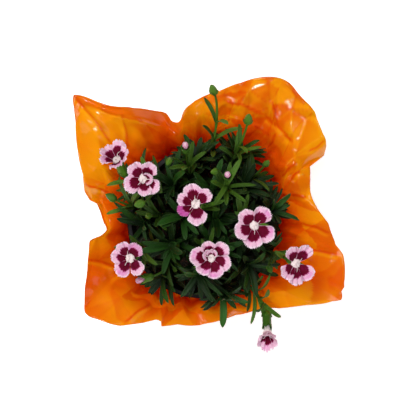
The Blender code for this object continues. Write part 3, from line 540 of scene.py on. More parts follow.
def bloom_petals(index):
    """The petals of one bloom: broad ones over each other, and any short ones upright inside them."""
    bloom = BLOOMS[index]
    draw = random.Random(40 + index)
    axes = axes_of(bloom.turn, bloom.lean)
    petals = []
    for turn, share, breadth in bloom.petals:
        inner = share < 0.70
        length = bloom.length * share
        rise = math.radians(86 if inner else 62 + 0.5 * bloom.cup)
        droop = math.radians(58 if inner else bloom.cup + draw.uniform(-7, 7))
        tilt = 0.05 if inner else 0.17
        seed = draw.uniform(0, 6)
        sizes = (length, length * breadth, rise, droop, tilt, seed)
        petals.append(Petal(Vector(bloom.throat), axes, math.radians(turn), *sizes))
    return petals


# Growing: every stem and leaf is bent clear of the nodes that are there already, round heads that keep their
# places


class Garden:
    """What has grown so far, as a search tree for each shape, with the name of its node."""

    def __init__(self):
        self.nodes, self.trees, self.lows, self.highs = [], [], [], []

    def add(self, node, verts, faces):
        points = np.array([tuple(v) for v in verts])
        self.nodes.append(node)
        self.trees.append(BVHTree.FromPolygons(verts, faces))
        self.lows.append(points.min(axis=0))
        self.highs.append(points.max(axis=0))

    def clear(self, node, verts, faces, ignore=()):
        """True if the shape crosses nothing that belongs to another node."""
        points = np.array([tuple(v) for v in verts])
        low, high = points.min(axis=0), points.max(axis=0)
        near = ((np.array(self.lows) <= high) & (np.array(self.highs) >= low)).all(axis=1)
        tree = BVHTree.FromPolygons(verts, faces)
        for k in np.nonzero(near)[0]:
            other = self.nodes[k]
            if other != node and other not in ignore and tree.overlap(self.trees[k]):
                return False
        return True


def spread_bases(tops):
    """Where each stem leaves the soil: drawn in from under its top, then pushed apart."""
    share = BASE_REACH / max(math.hypot(top.x, top.y) for top in tops)
    places = []
    for top in tops:
        flat = Vector((top.x, top.y, 0))
        places.append(flat * share + flat.normalized() * BASE_REACH * 0.20)
    for _ in range(SPREAD_ROUNDS):
        for a in range(len(places)):
            for b in range(a):
                between = places[a] - places[b]
                short = BASE_SPACING - between.length
                if short > 0:
                    push = between.normalized() if between.length > 1e-6 else Vector((1, 0, 0))
                    places[a] += push * short * 0.5
                    places[b] -= push * short * 0.5
        for place in places:
            if place.length > BASE_REACH * 1.3:
                place.length = BASE_REACH * 1.3
    return places


def grow_stem(garden, node, base, end, arrive, radius):
    """A stem from the soil to its head, with its bend tried in a few places until it is clear."""
    foot = Vector((base.x, base.y, SOIL_Z - HOLE_DEPTH + GAP))
    start = Vector((base.x, base.y, SOIL_Z + STEM_STANDS_CLEAR))
    rise = end.z - start.z
    for step in range(STEM_TRIES):
        swing = GOLDEN_ANGLE * step
        aside = polar(1, swing) * 0.0004 * step
        middle = end - arrive * rise * 0.42 + aside
        middle.z = max(middle.z, start.z + 0.20 * rise)
        lift = start + UP * rise * 0.32 + aside * 0.4
        stem = Stem(foot, start, lift, middle, end, radius * 1.15, radius)
        if garden.clear(node, *stem_mesh(stem, spare=SPARE), ignore=("soil",)):
            return stem
    raise RuntimeError(f"{node} finds no clear way up")


def branch_stem(parent, t, end, arrive, radius):
    start = stem_point(parent, t)
    reach = (end - start).length
    lift = start + (stem_direction(parent, t) + (end - start).normalized()) * reach * 0.2
    return Stem(None, start, lift, end - arrive * reach * 0.35, end, radius, radius)


def grow_leaf(garden, node, blade):
    """The blade turned, raised or shortened until it is clear, or None."""
    tries = [(0, 0, 1.0), (14, 4, 1.0), (-14, 4, 1.0), (0, 14, 1.0), (26, 8, 0.92), (-26, 8, 0.92)]
    tries += [(0, 24, 0.88), (38, 10, 0.84), (-38, 10, 0.84), (0, 30, 0.78), (20, 22, 0.74), (-20, 22, 0.74)]
    for swing, raised, share in tries:
        out = Matrix.Rotation(math.radians(swing), 3, blade.up) @ blade.out
        rise = min(blade.rise + math.radians(raised), math.radians(84))
        droop = min(blade.droop + math.radians(raised), rise - 0.12)
        leaf = blade._replace(out=out, rise=rise, droop=droop, length=blade.length * share)
        if garden.clear(node, *blade_mesh(leaf, spare=SPARE)):
            return leaf
    return None


def add_leaf(garden, leaves, node, blade):
    """Adds one leaf of a node to its leaves, if it finds room."""
    leaf = grow_leaf(garden, node, blade)
    if leaf:
        leaves.append(leaf)
        garden.add(node, *blade_mesh(leaf))


def leaf_pair(garden, node, stem, t, turn, rise, droop, length, width):
    """Two opposite leaves at a joint of a stem, as far as each finds room."""
    root = stem_point(stem, t)
    up = stem_direction(stem, t)
    leaves = []
    for angle in (turn, turn + math.pi):
        out = way(*sides_of(up), angle)
        add_leaf(garden, leaves, node, Blade(root, out, up, rise, droop, length, width))
    return leaves


def shoot_top(index):
    """Where a leafy shoot ends: the tops fill a low dome evenly."""
    share = math.sqrt((index + 0.5) / SHOOT_COUNT)
    turn = index * GOLDEN_ANGLE + 0.4
    height = SHOOT_TOP_MIDDLE + (SHOOT_TOP_EDGE - SHOOT_TOP_MIDDLE) * share**2
    return polar(SHOOT_REACH * share, turn, SOIL_Z + height)


def grow_plant(garden):
    """The stems, leaves, calyces, buds and petals of the whole plant, by the names of their nodes."""
    plant = {"stems": {}, "leaves": {}, "cups": {}, "buds": {}, "tips": {}, "petals": {}}
    standing = [bud for bud in BUDS if bud.branch is None]
    tops = [Vector(bloom.throat) for bloom in BLOOMS] + [Vector(bud.foot) for bud in standing]
    tops += [shoot_top(k) for k in range(SHOOT_COUNT)]
    bases = spread_bases(tops)
    place_heads(garden, plant)
    for k, bloom in enumerate(BLOOMS):
        node = numbered("flower_stem", k)
        axis = axes_of(bloom.turn, bloom.lean)[0]
        end = Vector(bloom.throat) - axis * (CALYX_LENGTH - 0.0030)
        add_stem(garden, plant, node, grow_stem(garden, node, bases[k], end, axis, FLOWER_STEM_RADIUS))
    for k, bud in enumerate(BUDS):
        axis = axes_of(bud.turn, bud.lean)[0]
        end = Vector(bud.foot) + axis * 0.0018
        node = bud.branch or numbered("bud_stem", k)
        if bud.branch:
            stem = branch_stem(plant["stems"][node][0], 0.60, end, axis, FLOWER_STEM_RADIUS * BUD_STEM_SHARE)
        else:
            base = bases[len(BLOOMS) + standing.index(bud)]
            stem = grow_stem(garden, node, base, end, axis, FLOWER_STEM_RADIUS * BUD_STEM_SHARE)
        add_stem(garden, plant, node, stem)
    grow_shoots(garden, plant, bases[len(BLOOMS) + len(standing):])
    grow_stem_leaves(garden, plant)
    return plant


def add_stem(garden, plant, node, stem):
    plant["stems"].setdefault(node, []).append(stem)
    plant["leaves"].setdefault(node, [])
    garden.add(node, *stem_mesh(stem))


def place_heads(garden, plant):
    """The calyces, blooms and buds, which keep their places: everything else grows round them."""
    for k, bloom in enumerate(BLOOMS):
        node, petals_node = numbered("flower_stem", k), numbered("bloom", k)
        axes = axes_of(bloom.turn, bloom.lean)
        cup = (Vector(bloom.throat), axes, CALYX_LENGTH, CALYX_RADIUS, FLOWER_STEM_RADIUS)
        plant["cups"][node] = [cup]
        garden.add(node, *cup_mesh(*cup))
        plant["petals"][petals_node] = bloom_petals(k)
        for petal in plant["petals"][petals_node]:
            garden.add(petals_node, *petal_mesh(petal))
    for k, bud in enumerate(BUDS):
        node = bud.branch or numbered("bud_stem", k)
        axes = axes_of(bud.turn, bud.lean)
        radius = 0.0030 if bud.length > 0.0095 else 0.0023
        thin = FLOWER_STEM_RADIUS * BUD_STEM_SHARE
        if bud.pink:
            tip = (Vector(bud.foot) + axes[0] * bud.length * 0.72, axes, radius)
            cup = (tip[0], axes, bud.length * 0.72, radius, thin)
            plant["cups"].setdefault(node, []).append(cup)
            plant["tips"][numbered("bud_tip", k)] = tip
            garden.add(node, *cup_mesh(*cup))
            garden.add(numbered("bud_tip", k), *bud_tip_mesh(*tip))
        else:
            shut = (Vector(bud.foot), axes, bud.length, radius, thin)
            plant["buds"].setdefault(node, []).append(shut)
            garden.add(node, *closed_bud_mesh(*shut))


def grow_shoots(garden, plant, bases):
    """Leafy shoots all over the pot: first their stems, then their leaves from the top pair down."""
    for k in range(SHOOT_COUNT):
        node = numbered("leafy_shoot", k)
        top = shoot_top(k)
        outward = Vector((top.x, top.y, 0)) / SHOOT_REACH
        stem = grow_stem(garden, node, bases[k], top, (outward * 0.9 + UP).normalized(), SHOOT_RADIUS * 0.90)
        add_stem(garden, plant, node, stem)
    for pair in range(SHOOT_PAIRS - 1, -1, -1):
        for k in range(SHOOT_COUNT):
            node = numbered("leafy_shoot", k)
            draw = random.Random(1000 + 10 * k + pair)
            share = pair / (SHOOT_PAIRS - 1)
            if pair == 0 and k < SHOOT_COUNT // 2:
                continue
            t = 0.50 + 0.46 * share
            turn = k * 1.9 + pair * math.pi / 2 + draw.uniform(-0.25, 0.25)
            rise = math.radians(44 + 22 * share + draw.uniform(-8, 8))
            droop = math.radians(2 + 30 * share + draw.uniform(-14, 10))
            length = LEAF_LENGTH * draw.uniform(0.85, 1.15) * (1 - 0.18 * share)
            width = LEAF_WIDTH * draw.uniform(0.88, 1.12)
            stem = plant["stems"][node][0]
            plant["leaves"][node] += leaf_pair(garden, node, stem, t, turn, rise, droop, length, width)


def grow_stem_leaves(garden, plant):
    """Narrow leaf pairs at the joints of the flower and bud stems."""
    for node, stems in plant["stems"].items():
        if node.startswith("leafy"):
            continue
        draw = random.Random(int(node[-2:]) + (500 if node.startswith("bud") else 720))
        for t in (0.78, 0.46) if node.startswith("flower") else (0.66,):
            turn = draw.uniform(0, math.pi)
            length = LEAF_LENGTH * draw.uniform(0.55, 0.85)
            rise, droop = math.radians(58), math.radians(14)
            width = LEAF_WIDTH * 0.72
            plant["leaves"][node] += leaf_pair(garden, node, stems[0], t, turn, rise, droop, length, width)


# Finishes


def tone(red, green, blue):
    """A colour given in 0 to 255 as the eye sees it, as the light values that a shader takes."""
    values = []
    for value in (red, green, blue):
        share = value / 255
        values.append(share / 12.92 if share <= 0.04045 else ((share + 0.055) / 1.055) ** 2.4)
    return (*values, 1.0)


class Finish:
    """One material with its shader, and short ways to add nodes to it."""

    def __init__(self, name, roughness, specular=0.5):
        self.material = bpy.data.materials.new(name)
        self.material.use_nodes = True
        self.tree = self.material.node_tree
        self.shader = self.tree.nodes["Principled BSDF"]
        self.shader.inputs["Roughness"].default_value = roughness
        self.shader.inputs["Specular IOR Level"].default_value = specular

    def add(self, kind, inputs=None, **settings):
        node = self.tree.nodes.new("ShaderNode" + kind)
        for key, value in settings.items():
            setattr(node, key, value)
        for key, value in (inputs or {}).items():
            self.put(node.inputs[key], value)
        return node

    def put(self, socket, value):
        if isinstance(value, bpy.types.NodeSocket):
            self.tree.links.new(value, socket)
        else:
            socket.default_value = value

    def sums(self, operation, a, b=0.0, clamp=False):
        return self.add("Math", {0: a, 1: b}, operation=operation, use_clamp=clamp).outputs[0]

    def plus(self, a, b):
        return self.sums("ADD", a, b)

    def less(self, a, b):
        return self.sums("SUBTRACT", a, b)

    def times(self, a, b):
        return self.sums("MULTIPLY", a, b)

    def step(self, value, low, high, start=0.0, end=1.0):
        """A soft step from start to end while value goes from low to high."""
        inputs = {"Value": value, "From Min": low, "From Max": high, "To Min": start, "To Max": end}
        return self.add("MapRange", inputs, interpolation_type="SMOOTHSTEP").outputs["Result"]

    def blend(self, share, a, b):
        return self.add("Mix", {0: share, 6: a, 7: b}, data_type="RGBA").outputs[2]

    def grain(self, where, scale, detail=2.0, roughness=0.5):
        inputs = {"Vector": where, "Scale": scale, "Detail": detail, "Roughness": roughness}
        return self.add("TexNoise", inputs).outputs["Fac"]

    def place(self):
        return self.add("TexCoord").outputs["Object"]

    def across_along(self):
        """(side to side from -1 to 1, share of the length, the number of the leaf or petal)."""
        where = self.add("UVMap", uv_map="UVMap").outputs["UV"]
        parts = self.add("SeparateXYZ", {"Vector": where})
        number = self.sums("FLOOR", parts.outputs["X"])
        across = self.sums("SUBTRACT", parts.outputs["X"], number)
        across = self.sums("MULTIPLY_ADD", across, 2.0)
        across.node.inputs[2].default_value = -1.0
        return across, parts.outputs["Y"], number

    def chance(self, number):
        """A number from 0 to 1 drawn for each leaf or petal."""
        return self.add("TexWhiteNoise", {"W": number}, noise_dimensions="1D").outputs["Value"]

    def mark(self, name):
        return self.add("Attribute", attribute_name=name).outputs["Fac"]

    def bump(self, height, depth, strength=1.0):
        inputs = {"Height": height, "Distance": depth, "Strength": strength}
        self.put(self.shader.inputs["Normal"], self.add("Bump", inputs).outputs["Normal"])

    def colour(self, value):
        self.put(self.shader.inputs["Base Color"], value)


def petal_finish(plan):
    """Pale pink with a white lacy rim, a burgundy blotch with a magenta border, and a cream throat."""
    finish = Finish("petal_finish", 0.75, 0.12)
    across, along, number = finish.across_along()
    side = finish.sums("ABSOLUTE", across)
    place = finish.place()
    ragged = finish.less(finish.grain(place, 750.0, 3.0), 0.5)
    fan = finish.add("CombineXYZ", {"X": finish.times(across, 5.0), "Y": along, "Z": number})
    streak = finish.less(finish.grain(fan.outputs[0], 2.2, 2.0), 0.5)
    wander = finish.plus(finish.times(ragged, 0.10), finish.times(streak, 0.17))
    reach = finish.plus(along, wander)
    reach = finish.plus(reach, finish.times(finish.sums("POWER", side, 3.0), 0.04))
    edge = finish.plus(side, finish.times(ragged, 0.10))
    edge = finish.plus(edge, finish.times(finish.less(0.5, along), 0.25))
    throat = finish.plus(along, finish.times(ragged, 0.08))
    flush = finish.step(finish.grain(place, 95.0, 3.0), 0.50, 0.72)
    pink = finish.blend(flush, (*plan.petal_pink, 1), (*plan.petal_flush, 1))
    rim = finish.step(finish.sums("MAXIMUM", along, finish.times(side, 0.93)), 0.87, 0.99, 0.0, 0.85)
    pink = finish.blend(rim, pink, (*plan.petal_rim, 1))
    pink = finish.blend(finish.mark("flush"), pink, tone(205, 70, 170))
    start = finish.step(throat, plan.blotch_start - 0.05, plan.blotch_start + 0.01)
    wide_start = finish.step(throat, plan.blotch_start - 0.09, plan.blotch_start - 0.04)
    end = finish.step(reach, plan.blotch_end - 0.02, plan.blotch_end + 0.02, 1.0, 0.0)
    wide_end = finish.step(reach, plan.blotch_end + 0.01, plan.blotch_end + 0.07, 1.0, 0.0)
    sides = finish.step(edge, 0.92, 0.96, 1.0, 0.0)
    wide_sides = finish.step(edge, 0.94, 1.0, 1.0, 0.0)
    border = finish.times(finish.times(wide_start, wide_end), wide_sides)
    blotch = finish.times(finish.times(start, end), sides)
    colour = finish.blend(border, pink, (*plan.blotch_border, 1))
    mottle = finish.step(finish.grain(place, 400.0, 3.0), 0.45, 0.8)
    dark = finish.blend(mottle, (*plan.blotch, 1), tone(118, 0, 56))
    colour = finish.blend(blotch, colour, dark)
    cream = finish.blend(finish.grain(place, 900.0, 2.0), (*plan.throat_cream, 1), tone(255, 246, 244))
    pale = finish.step(throat, plan.blotch_start - 0.08, plan.blotch_start - 0.02, 1.0, 0.0)
    colour = finish.blend(finish.sums("MAXIMUM", pale, finish.mark("pale")), colour, cream)
    under = finish.blend(finish.grain(place, 200.0), tone(244, 208, 222), tone(232, 176, 202))
    finish.colour(finish.blend(finish.times(finish.mark("under"), 0.9), colour, under))
    veins = finish.sums("SINE", finish.times(across, 42.0))
    height = finish.plus(finish.times(veins, 0.3), finish.grain(place, 1500.0, 3.0))
    finish.bump(height, 0.00012)
    return finish.material


def leaf_finish(name, dark, light, roughness):
    """Green that differs from leaf to leaf, with a pale midrib and paler rims that carry painted highlight,
    fine veins, and painted shade that darkens the leaves deep in the plant nearly to black.
    """
    finish = Finish(name, roughness, 0.26)
    across, along, number = finish.across_along()
    side = finish.sums("ABSOLUTE", across)
    place = finish.place()
    draw = finish.chance(number)
    patch = finish.grain(place, 55.0, 3.0)
    share = finish.plus(finish.times(draw, 0.75), finish.times(patch, 0.45))
    share = finish.sums("SUBTRACT", share, 0.12, clamp=True)
    green = finish.blend(share, (*dark, 1), (*light, 1))
    # The pale midrib and the paler rims: the leaf's own colour, brightened as painted highlight.
    rib = finish.step(side, 0.02, 0.12, 0.28, 0.0)
    green = finish.blend(rib, green, tone(84, 124, 50))
    rim = finish.step(side, 0.86, 1.0, 0.0, 0.42)
    green = finish.blend(rim, green, tone(92, 130, 66))
    dusk = finish.step(along, 0.0, 0.35, 0.35, 0.0)
    green = finish.blend(dusk, green, tone(54, 90, 28))
    fleck = finish.step(finish.grain(place, 1400.0, 3.0), 0.35, 0.75, 0.0, 0.18)
    green = finish.blend(fleck, green, tone(54, 88, 36))
    # Painted shade: leaves low down and near the middle turn nearly black, as the foliage shades its own
    # depths.
    height = finish.add("SeparateXYZ", {"Vector": place}).outputs["Z"]
    low = finish.step(height, SOIL_Z + 0.020, SOIL_Z + 0.084, 0.98, 0.0)
    flat = finish.add("VectorMath", {0: place, 1: (1.0, 1.0, 0.0)}, operation="MULTIPLY")
    reach = finish.add("VectorMath", {0: flat.outputs[0]}, operation="LENGTH").outputs["Value"]
    inside = finish.step(reach, 0.050, 0.072, 1.0, 0.15)
    finish.colour(finish.blend(finish.times(low, inside), green, tone(3, 9, 3)))
    veins = finish.sums("SINE", finish.times(across, 26.0))
    height = finish.plus(finish.times(veins, 0.35), finish.grain(place, 900.0, 3.0))
    finish.bump(height, 0.00015)
    satin = finish.step(finish.grain(place, 300.0), 0.3, 0.7, roughness - 0.08, roughness + 0.10)
    finish.put(finish.shader.inputs["Roughness"], satin)
    return finish.material


def bud_petal_finish():
    finish = Finish("bud_petal_finish", 0.55)
    across, along, _ = finish.across_along()
    place = finish.place()
    furl = finish.add("CombineXYZ", {"X": finish.times(across, 2.5), "Y": along, "Z": 0.0})
    share = finish.step(finish.grain(furl.outputs[0], 3.0, 3.0), 0.35, 0.65)
    colour = finish.blend(share, tone(242, 205, 222), tone(214, 105, 160))
    rim = finish.step(along, 0.80, 1.0, 0.0, 0.7)
    finish.colour(finish.blend(rim, colour, tone(250, 225, 235)))
    finish.bump(finish.grain(place, 1200.0, 3.0), 0.00012)
    return finish.material


def film_finish(plan):
    """Clear orange film: yellow where it stands thin and lit, red where the folds lie over each other and
    where shade is painted.
    """
    finish = Finish("film_finish", 0.13, 0.42)
    place = finish.place()
    # The fold share from the mesh carries painted shade as well as the folds.
    folds = finish.mark("fold")
    cloud = finish.grain(place, 9.0, 3.0, 0.55)
    share = finish.plus(folds, finish.times(finish.less(cloud, 0.5), 0.9))
    # Crisp patches of painted shadow, as if the plant cast them on the film.
    patch = finish.step(finish.grain(place, 15.0, 2.5, 0.55), 0.505, 0.535)
    share = finish.plus(share, finish.times(patch, 0.11))
    middle = finish.step(share, 0.02, 0.46)
    deep = finish.step(share, 0.42, 0.85)
    colour = finish.blend(middle, (*plan.film_lit, 1), (*plan.film_orange, 1))
    colour = finish.blend(deep, colour, (*plan.film_fold_and_shade, 1))
    finish.colour(colour)
    crease = finish.add("TexVoronoi", {"Vector": place, "Scale": 55.0}, feature="DISTANCE_TO_EDGE")
    sharp = finish.step(crease.outputs["Distance"], 0.0, 0.10)
    height = finish.plus(finish.times(sharp, 0.25), finish.grain(place, 120.0, 4.0, 0.6))
    finish.bump(height, 0.0003, 0.5)
    through = finish.add("BsdfTranslucent", {"Color": colour})
    mixed = finish.add("MixShader", {0: 0.45, 1: finish.shader.outputs[0], 2: through.outputs[0]})
    finish.put(finish.tree.nodes["Material Output"].inputs["Surface"], mixed.outputs[0])
    return finish.material


def pot_finish():
    """Black moulded plastic with fine turning rings and a dusting of dry peat."""
    finish = Finish("pot_finish", 0.5, 0.22)
    place = finish.place()
    dust = finish.step(finish.grain(place, 60.0, 5.0), 0.52, 0.75, 0.0, 0.5)
    finish.colour(finish.blend(dust, tone(20, 20, 21), tone(44, 38, 33)))
    height = finish.add("SeparateXYZ", {"Vector": place}).outputs["Z"]
    rings = finish.sums("SINE", finish.times(height, 5200.0))
    finish.bump(finish.plus(finish.times(rings, 0.3), finish.grain(place, 900.0, 4.0)), 0.00008)
    satin = finish.step(dust, 0.0, 0.5, 0.38, 0.75)
    finish.put(finish.shader.inputs["Roughness"], satin)
    return finish.material


def peat_finish():
    finish = Finish("peat_finish", 0.95)
    place = finish.place()
    clods = finish.grain(place, 260.0, 6.0, 0.65)
    colour = finish.blend(finish.step(clods, 0.35, 0.70), tone(28, 20, 15), tone(72, 52, 38))
    fibre = finish.add("TexVoronoi", {"Vector": place, "Scale": 900.0})
    straw = finish.step(fibre.outputs["Distance"], 0.05, 0.14, 0.35, 0.0)
    finish.colour(finish.blend(straw, colour, tone(120, 92, 62)))
    finish.bump(finish.plus(clods, fibre.outputs["Distance"]), 0.0012)
    return finish.material


# Gathering one piece's mesh


class Shape:
    """Vertices, faces, surface places and marks gathered for one piece."""

    def __init__(self, marks=()):
        self.verts, self.faces, self.places, self.number = [], [], [], 0
        self.marks = {name: [] for name in marks}

    def add(self, verts, faces, places, **marks):
        start = len(self.verts)
        self.verts += [tuple(v) for v in verts]
        self.faces += [tuple(start + k for k in face) for face in faces]
        self.places += [(self.number + 0.01 + 0.98 * x, y) for x, y in places]
        for name, values in self.marks.items():
            given = marks.get(name, 0.0)
            values += list(given) if hasattr(given, "__len__") else [given] * len(verts)
        self.number += 1

    def piece(self, name, material, nodes=()):
        mesh = bpy.data.meshes.new(name)
        mesh.from_pydata(self.verts, [], self.faces)
        mesh.materials.append(material)
        corners = np.empty(len(mesh.loops), np.int32)
        mesh.loops.foreach_get("vertex_index", corners)
        layer = mesh.uv_layers.new(name="UVMap")
        layer.data.foreach_set("uv", np.array(self.places, np.float32)[corners].ravel())
        for mark, values in self.marks.items():
            attribute = mesh.attributes.new(mark, "FLOAT", "POINT")
            attribute.data.foreach_set("value", np.array(values, np.float32))
        mesh.shade_smooth()
        obj = bpy.data.objects.new(name, mesh)
        bpy.context.scene.collection.objects.link(obj)
        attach(obj, "root")
        if nodes:
            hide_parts(*nodes)
        return obj


def sheet_faces(rows, columns):
    """Faces of a closed thin sheet: an upper grid of points, then the lower one."""
    count = rows * columns
    faces = []
    for a, b, c, d in grid_quads(rows, columns):
        faces += [(a, b, c, d), (a + count, d + count, c + count, b + count)]
    rim = grid_rim(rows, columns)
    for a, b in zip(rim, rim[1:] + rim[:1]):
        faces.append((a, a + count, b + count, b))
    return faces


def thin_sheet(grid, thickness):
    """Upper and lower points of an even sheet about a grid, and its faces."""
    points = np.array([[tuple(p) for p in row] for row in grid])
    rows, columns = points.shape[:2]
    along = np.gradient(points, axis=0)
    across = np.gradient(points, axis=1)
    normal = np.cross(across, along)
    normal /= np.maximum(np.linalg.norm(normal, axis=2, keepdims=True), 1e-12)
    half = normal * thickness / 2
    both = np.concatenate([(points + half).reshape(-1, 3), (points - half).reshape(-1, 3)])
    return both, sheet_faces(rows, columns)


# Leaves and stalks


def leaf_share(t):
    """Share of a fine leaf's width along it: a sheathing root, a long strap and a bluntly pointed tip."""
    if t < 0.20:
        return 0.50 + 0.38 * math.sin(math.pi / 2 * t / 0.20)
    past = (t - 0.20) / 0.80
    return (0.88 + 0.06 * math.sin(math.pi * past)) * max(0.0, 1 - past ** 7.0) ** 0.70


def fine_leaf(shape, blade, draw, rows=15):
    side = blade.out.cross(blade.up).normalized()
    columns = (-1.0, -0.72, -0.36, 0.0, 0.36, 0.72, 1.0)
    twist = draw.uniform(-0.30, 0.30)
    sway = draw.uniform(-0.06, 0.06)
    seed = draw.uniform(0, 50)
    grid, places = [], []
    for i in range(rows):
        t = 1 - (1 - i / (rows - 1)) ** 1.25
        point, along = blade_point(blade, t)
        face = side.cross(along).normalized()
        half = max(blade.width / 2 * leaf_share(t) * 1.04, 0.00012)
        turn = twist * t
        flat, rise = way(side, face, turn), way(face, -side, turn)
        point = point + side * sway * blade.length * t * t
        line = []
        for s in columns:
            channel = 0.30 * abs(s) ** 1.5 * half - 0.00018 * math.exp(-(s * 5) ** 2)
            ripple = 0.00022 * math.sin(9 * t + 3 * s + seed) * abs(s)
            line.append(point + flat * s * half + rise * (channel + ripple))
            places.append(((s + 1) / 2, t))
        grid.append(line)
    verts, faces = thin_sheet(grid, LEAF_SHEET)
    shape.add(verts, faces, places * 2)


def fine_stalk(shape, stem, joints):
    """A round stem with a swollen joint wherever leaves leave it."""
    rings, sides = 22, 9
    points = [stem_point(stem, k / (rings - 1)) for k in range(rings)]
    radii = []
    for k in range(rings):
        t = k / (rings - 1)
        swell = max(math.exp(-((t - joint) / JOINT_BREADTH) ** 2) for joint in joints)
        radius = stem.start_radius + (stem.end_radius - stem.start_radius) * t
        radii.append(radius * (0.92 + 0.42 * swell))
    if stem.foot is not None:
        points.insert(0, stem.foot)
        radii.insert(0, stem.start_radius)
    verts, faces = tube(points, radii, sides, 0.3)
    places = [(j / sides, 0.5 * k / len(points)) for k in range(len(points)) for j in range(sides)]
    shape.add(verts, faces, places)


def spun(place, axes, rows, sides, swell):
    """A closed skin about a head's axis.

    rows are (radius, height), and swell(row, angle) gives (share of the radius, rise).
    """
    axis, side, other = axes
    verts, faces, places = [], [], []
    for i, (radius, height) in enumerate(rows):
        for k in range(sides):
            angle = 2 * math.pi * k / sides
            share, rise = swell(i, angle)
            out = way(side, other, angle)
            verts.append(place + out * radius * share + axis * (height + rise))
            places.append((k / sides, i / (len(rows) - 1)))
    faces += ring_quads(len(rows), sides)
    faces.append(tuple(range(sides - 1, -1, -1)))
    faces.append(tuple((len(rows) - 1) * sides + k for k in range(sides)))
    return verts, faces, places


def tooth_wave(angle, count, phase=0.0):
    """1 at the middle of each tooth, 0 between two teeth."""
    return 1 - abs(((angle + phase) * count / (2 * math.pi)) % 1 - 0.5) * 2


def fine_cup(shape, mouth, axes, length, radius, stem_radius):
    """A ribbed calyx with five pointed teeth and two pairs of scales at its foot."""
    recess = min(CALYX_RECESS, 0.6 * length)
    lip = radius + LIP
    rows = [
        (0.0002, -length), (stem_radius + LIP, -length), (0.80 * radius, -0.93 * length),
        (0.97 * radius, -0.78 * length), (radius, -0.55 * length), (radius, -0.30 * length),
        (lip, -0.08 * length), (lip, 0.0), (lip - LIP, 0.0), (radius - CALYX_WALL, -0.5 * recess),
        (0.8 * (radius - CALYX_WALL), -recess), (0.0002, -recess),
    ]
    teeth = (7, 8)

    def swell(row, angle):
        rib = 1 + 0.022 * math.cos(10 * angle) if row < 8 else 1.0
        if row in teeth:
            point = tooth_wave(angle, 5)
            return rib * (1 + 0.10 * point), 0.0026 * point ** 1.3 - 0.0006
        return rib, 0.0

    shape.add(*spun(mouth, axes, rows, 40, swell))
    add_scales(shape, mouth - axes[0] * length, axes, 0.40 * length, radius)


def add_scales(shape, foot, axes, length, radius):
    axis, side, other = axes
    draw = random.Random(int(abs(foot.x) * 1e6))
    for k in range(4):
        angle = math.pi / 2 * k + draw.uniform(-0.2, 0.2)
        out = way(side, other, angle)
        root = foot + out * radius * 0.55
        rise, longer = (64, 1.1) if k % 2 else (50, 0.9)
        scale = Blade(root, out, axis, math.radians(rise), math.radians(84), length * longer, SCALE_WIDTH)
        fine_leaf(shape, scale, draw, 9)


def fine_bud(shape, foot, axes, length, radius, stem_radius):
    """A shut bud: five folded teeth that meet in a point, and scales at its foot."""
    rows = [(0.0002, 0.0), (stem_radius + LIP, 0.0)]
    steps = 12
    for k in range(1, steps + 1):
        t = k / steps
        belly = math.sin(math.pi * min(1.0, 0.14 + 0.86 * t ** 0.9)) ** 0.78
        rows.append((max(0.00015, radius * belly), length * t))

    def swell(row, angle):
        late = max(0.0, (row - 6) / 8)
        return 1 + (0.03 + 0.10 * late) * math.cos(5 * angle + 1.2 * late), 0.0

    shape.add(*spun(foot, axes, rows, 30, swell))
    add_scales(shape, foot + axes[0] * 0.0002, axes, 0.42 * length, radius)


def dress_shoots(plant, extra, material):
    """Each leafy shoot: its stalk, its leaves, and the smaller leaves that fill in round them."""
    for node in sorted(plant["stems"]):
        if not node.startswith("leafy"):
            continue
        draw = random.Random(3000 + int(node[-2:]))
        shape = Shape()
        for stem in plant["stems"][node]:
            fine_stalk(shape, stem, [0.50 + 0.46 * k / 3 for k in range(4)])
        for blade in plant["leaves"][node] + extra.get(node, []):
            fine_leaf(shape, blade, draw)
        shape.piece("shoot_leaves" + node[-3:], material, [node])


def dress_stalks(plant, extra, material):
    """Each flower or bud stalk with its leaves, calyx and shut buds."""
    for node in sorted(plant["stems"]):
        if node.startswith("leafy"):
            continue
        draw = random.Random(4000 + sum(map(ord, node)))
        shape = Shape()
        for stem in plant["stems"][node]:
            fine_stalk(shape, stem, (0.46, 0.66, 0.78))
        for blade in plant["leaves"][node] + extra.get(node, []):
            fine_leaf(shape, blade, draw)
        for cup in plant["cups"].get(node, []):
            fine_cup(shape, *cup)
        for bud in plant["buds"].get(node, []):
            fine_bud(shape, *bud)
        shape.piece(node.replace("stem", "stalk"), material, [node])


# Blooms


def petal_tooth(u, seed):
    """Depth of the notch in a petal's rim at a place across it, as a share of the petal's length."""
    phase = u * TEETH_ACROSS / 2 + seed
    wave = 1 - abs((phase % 1) - 0.5) * 2
    own = 0.55 + 0.45 * math.sin(7.3 * math.floor(phase) + seed)
    return (1 - wave) * own


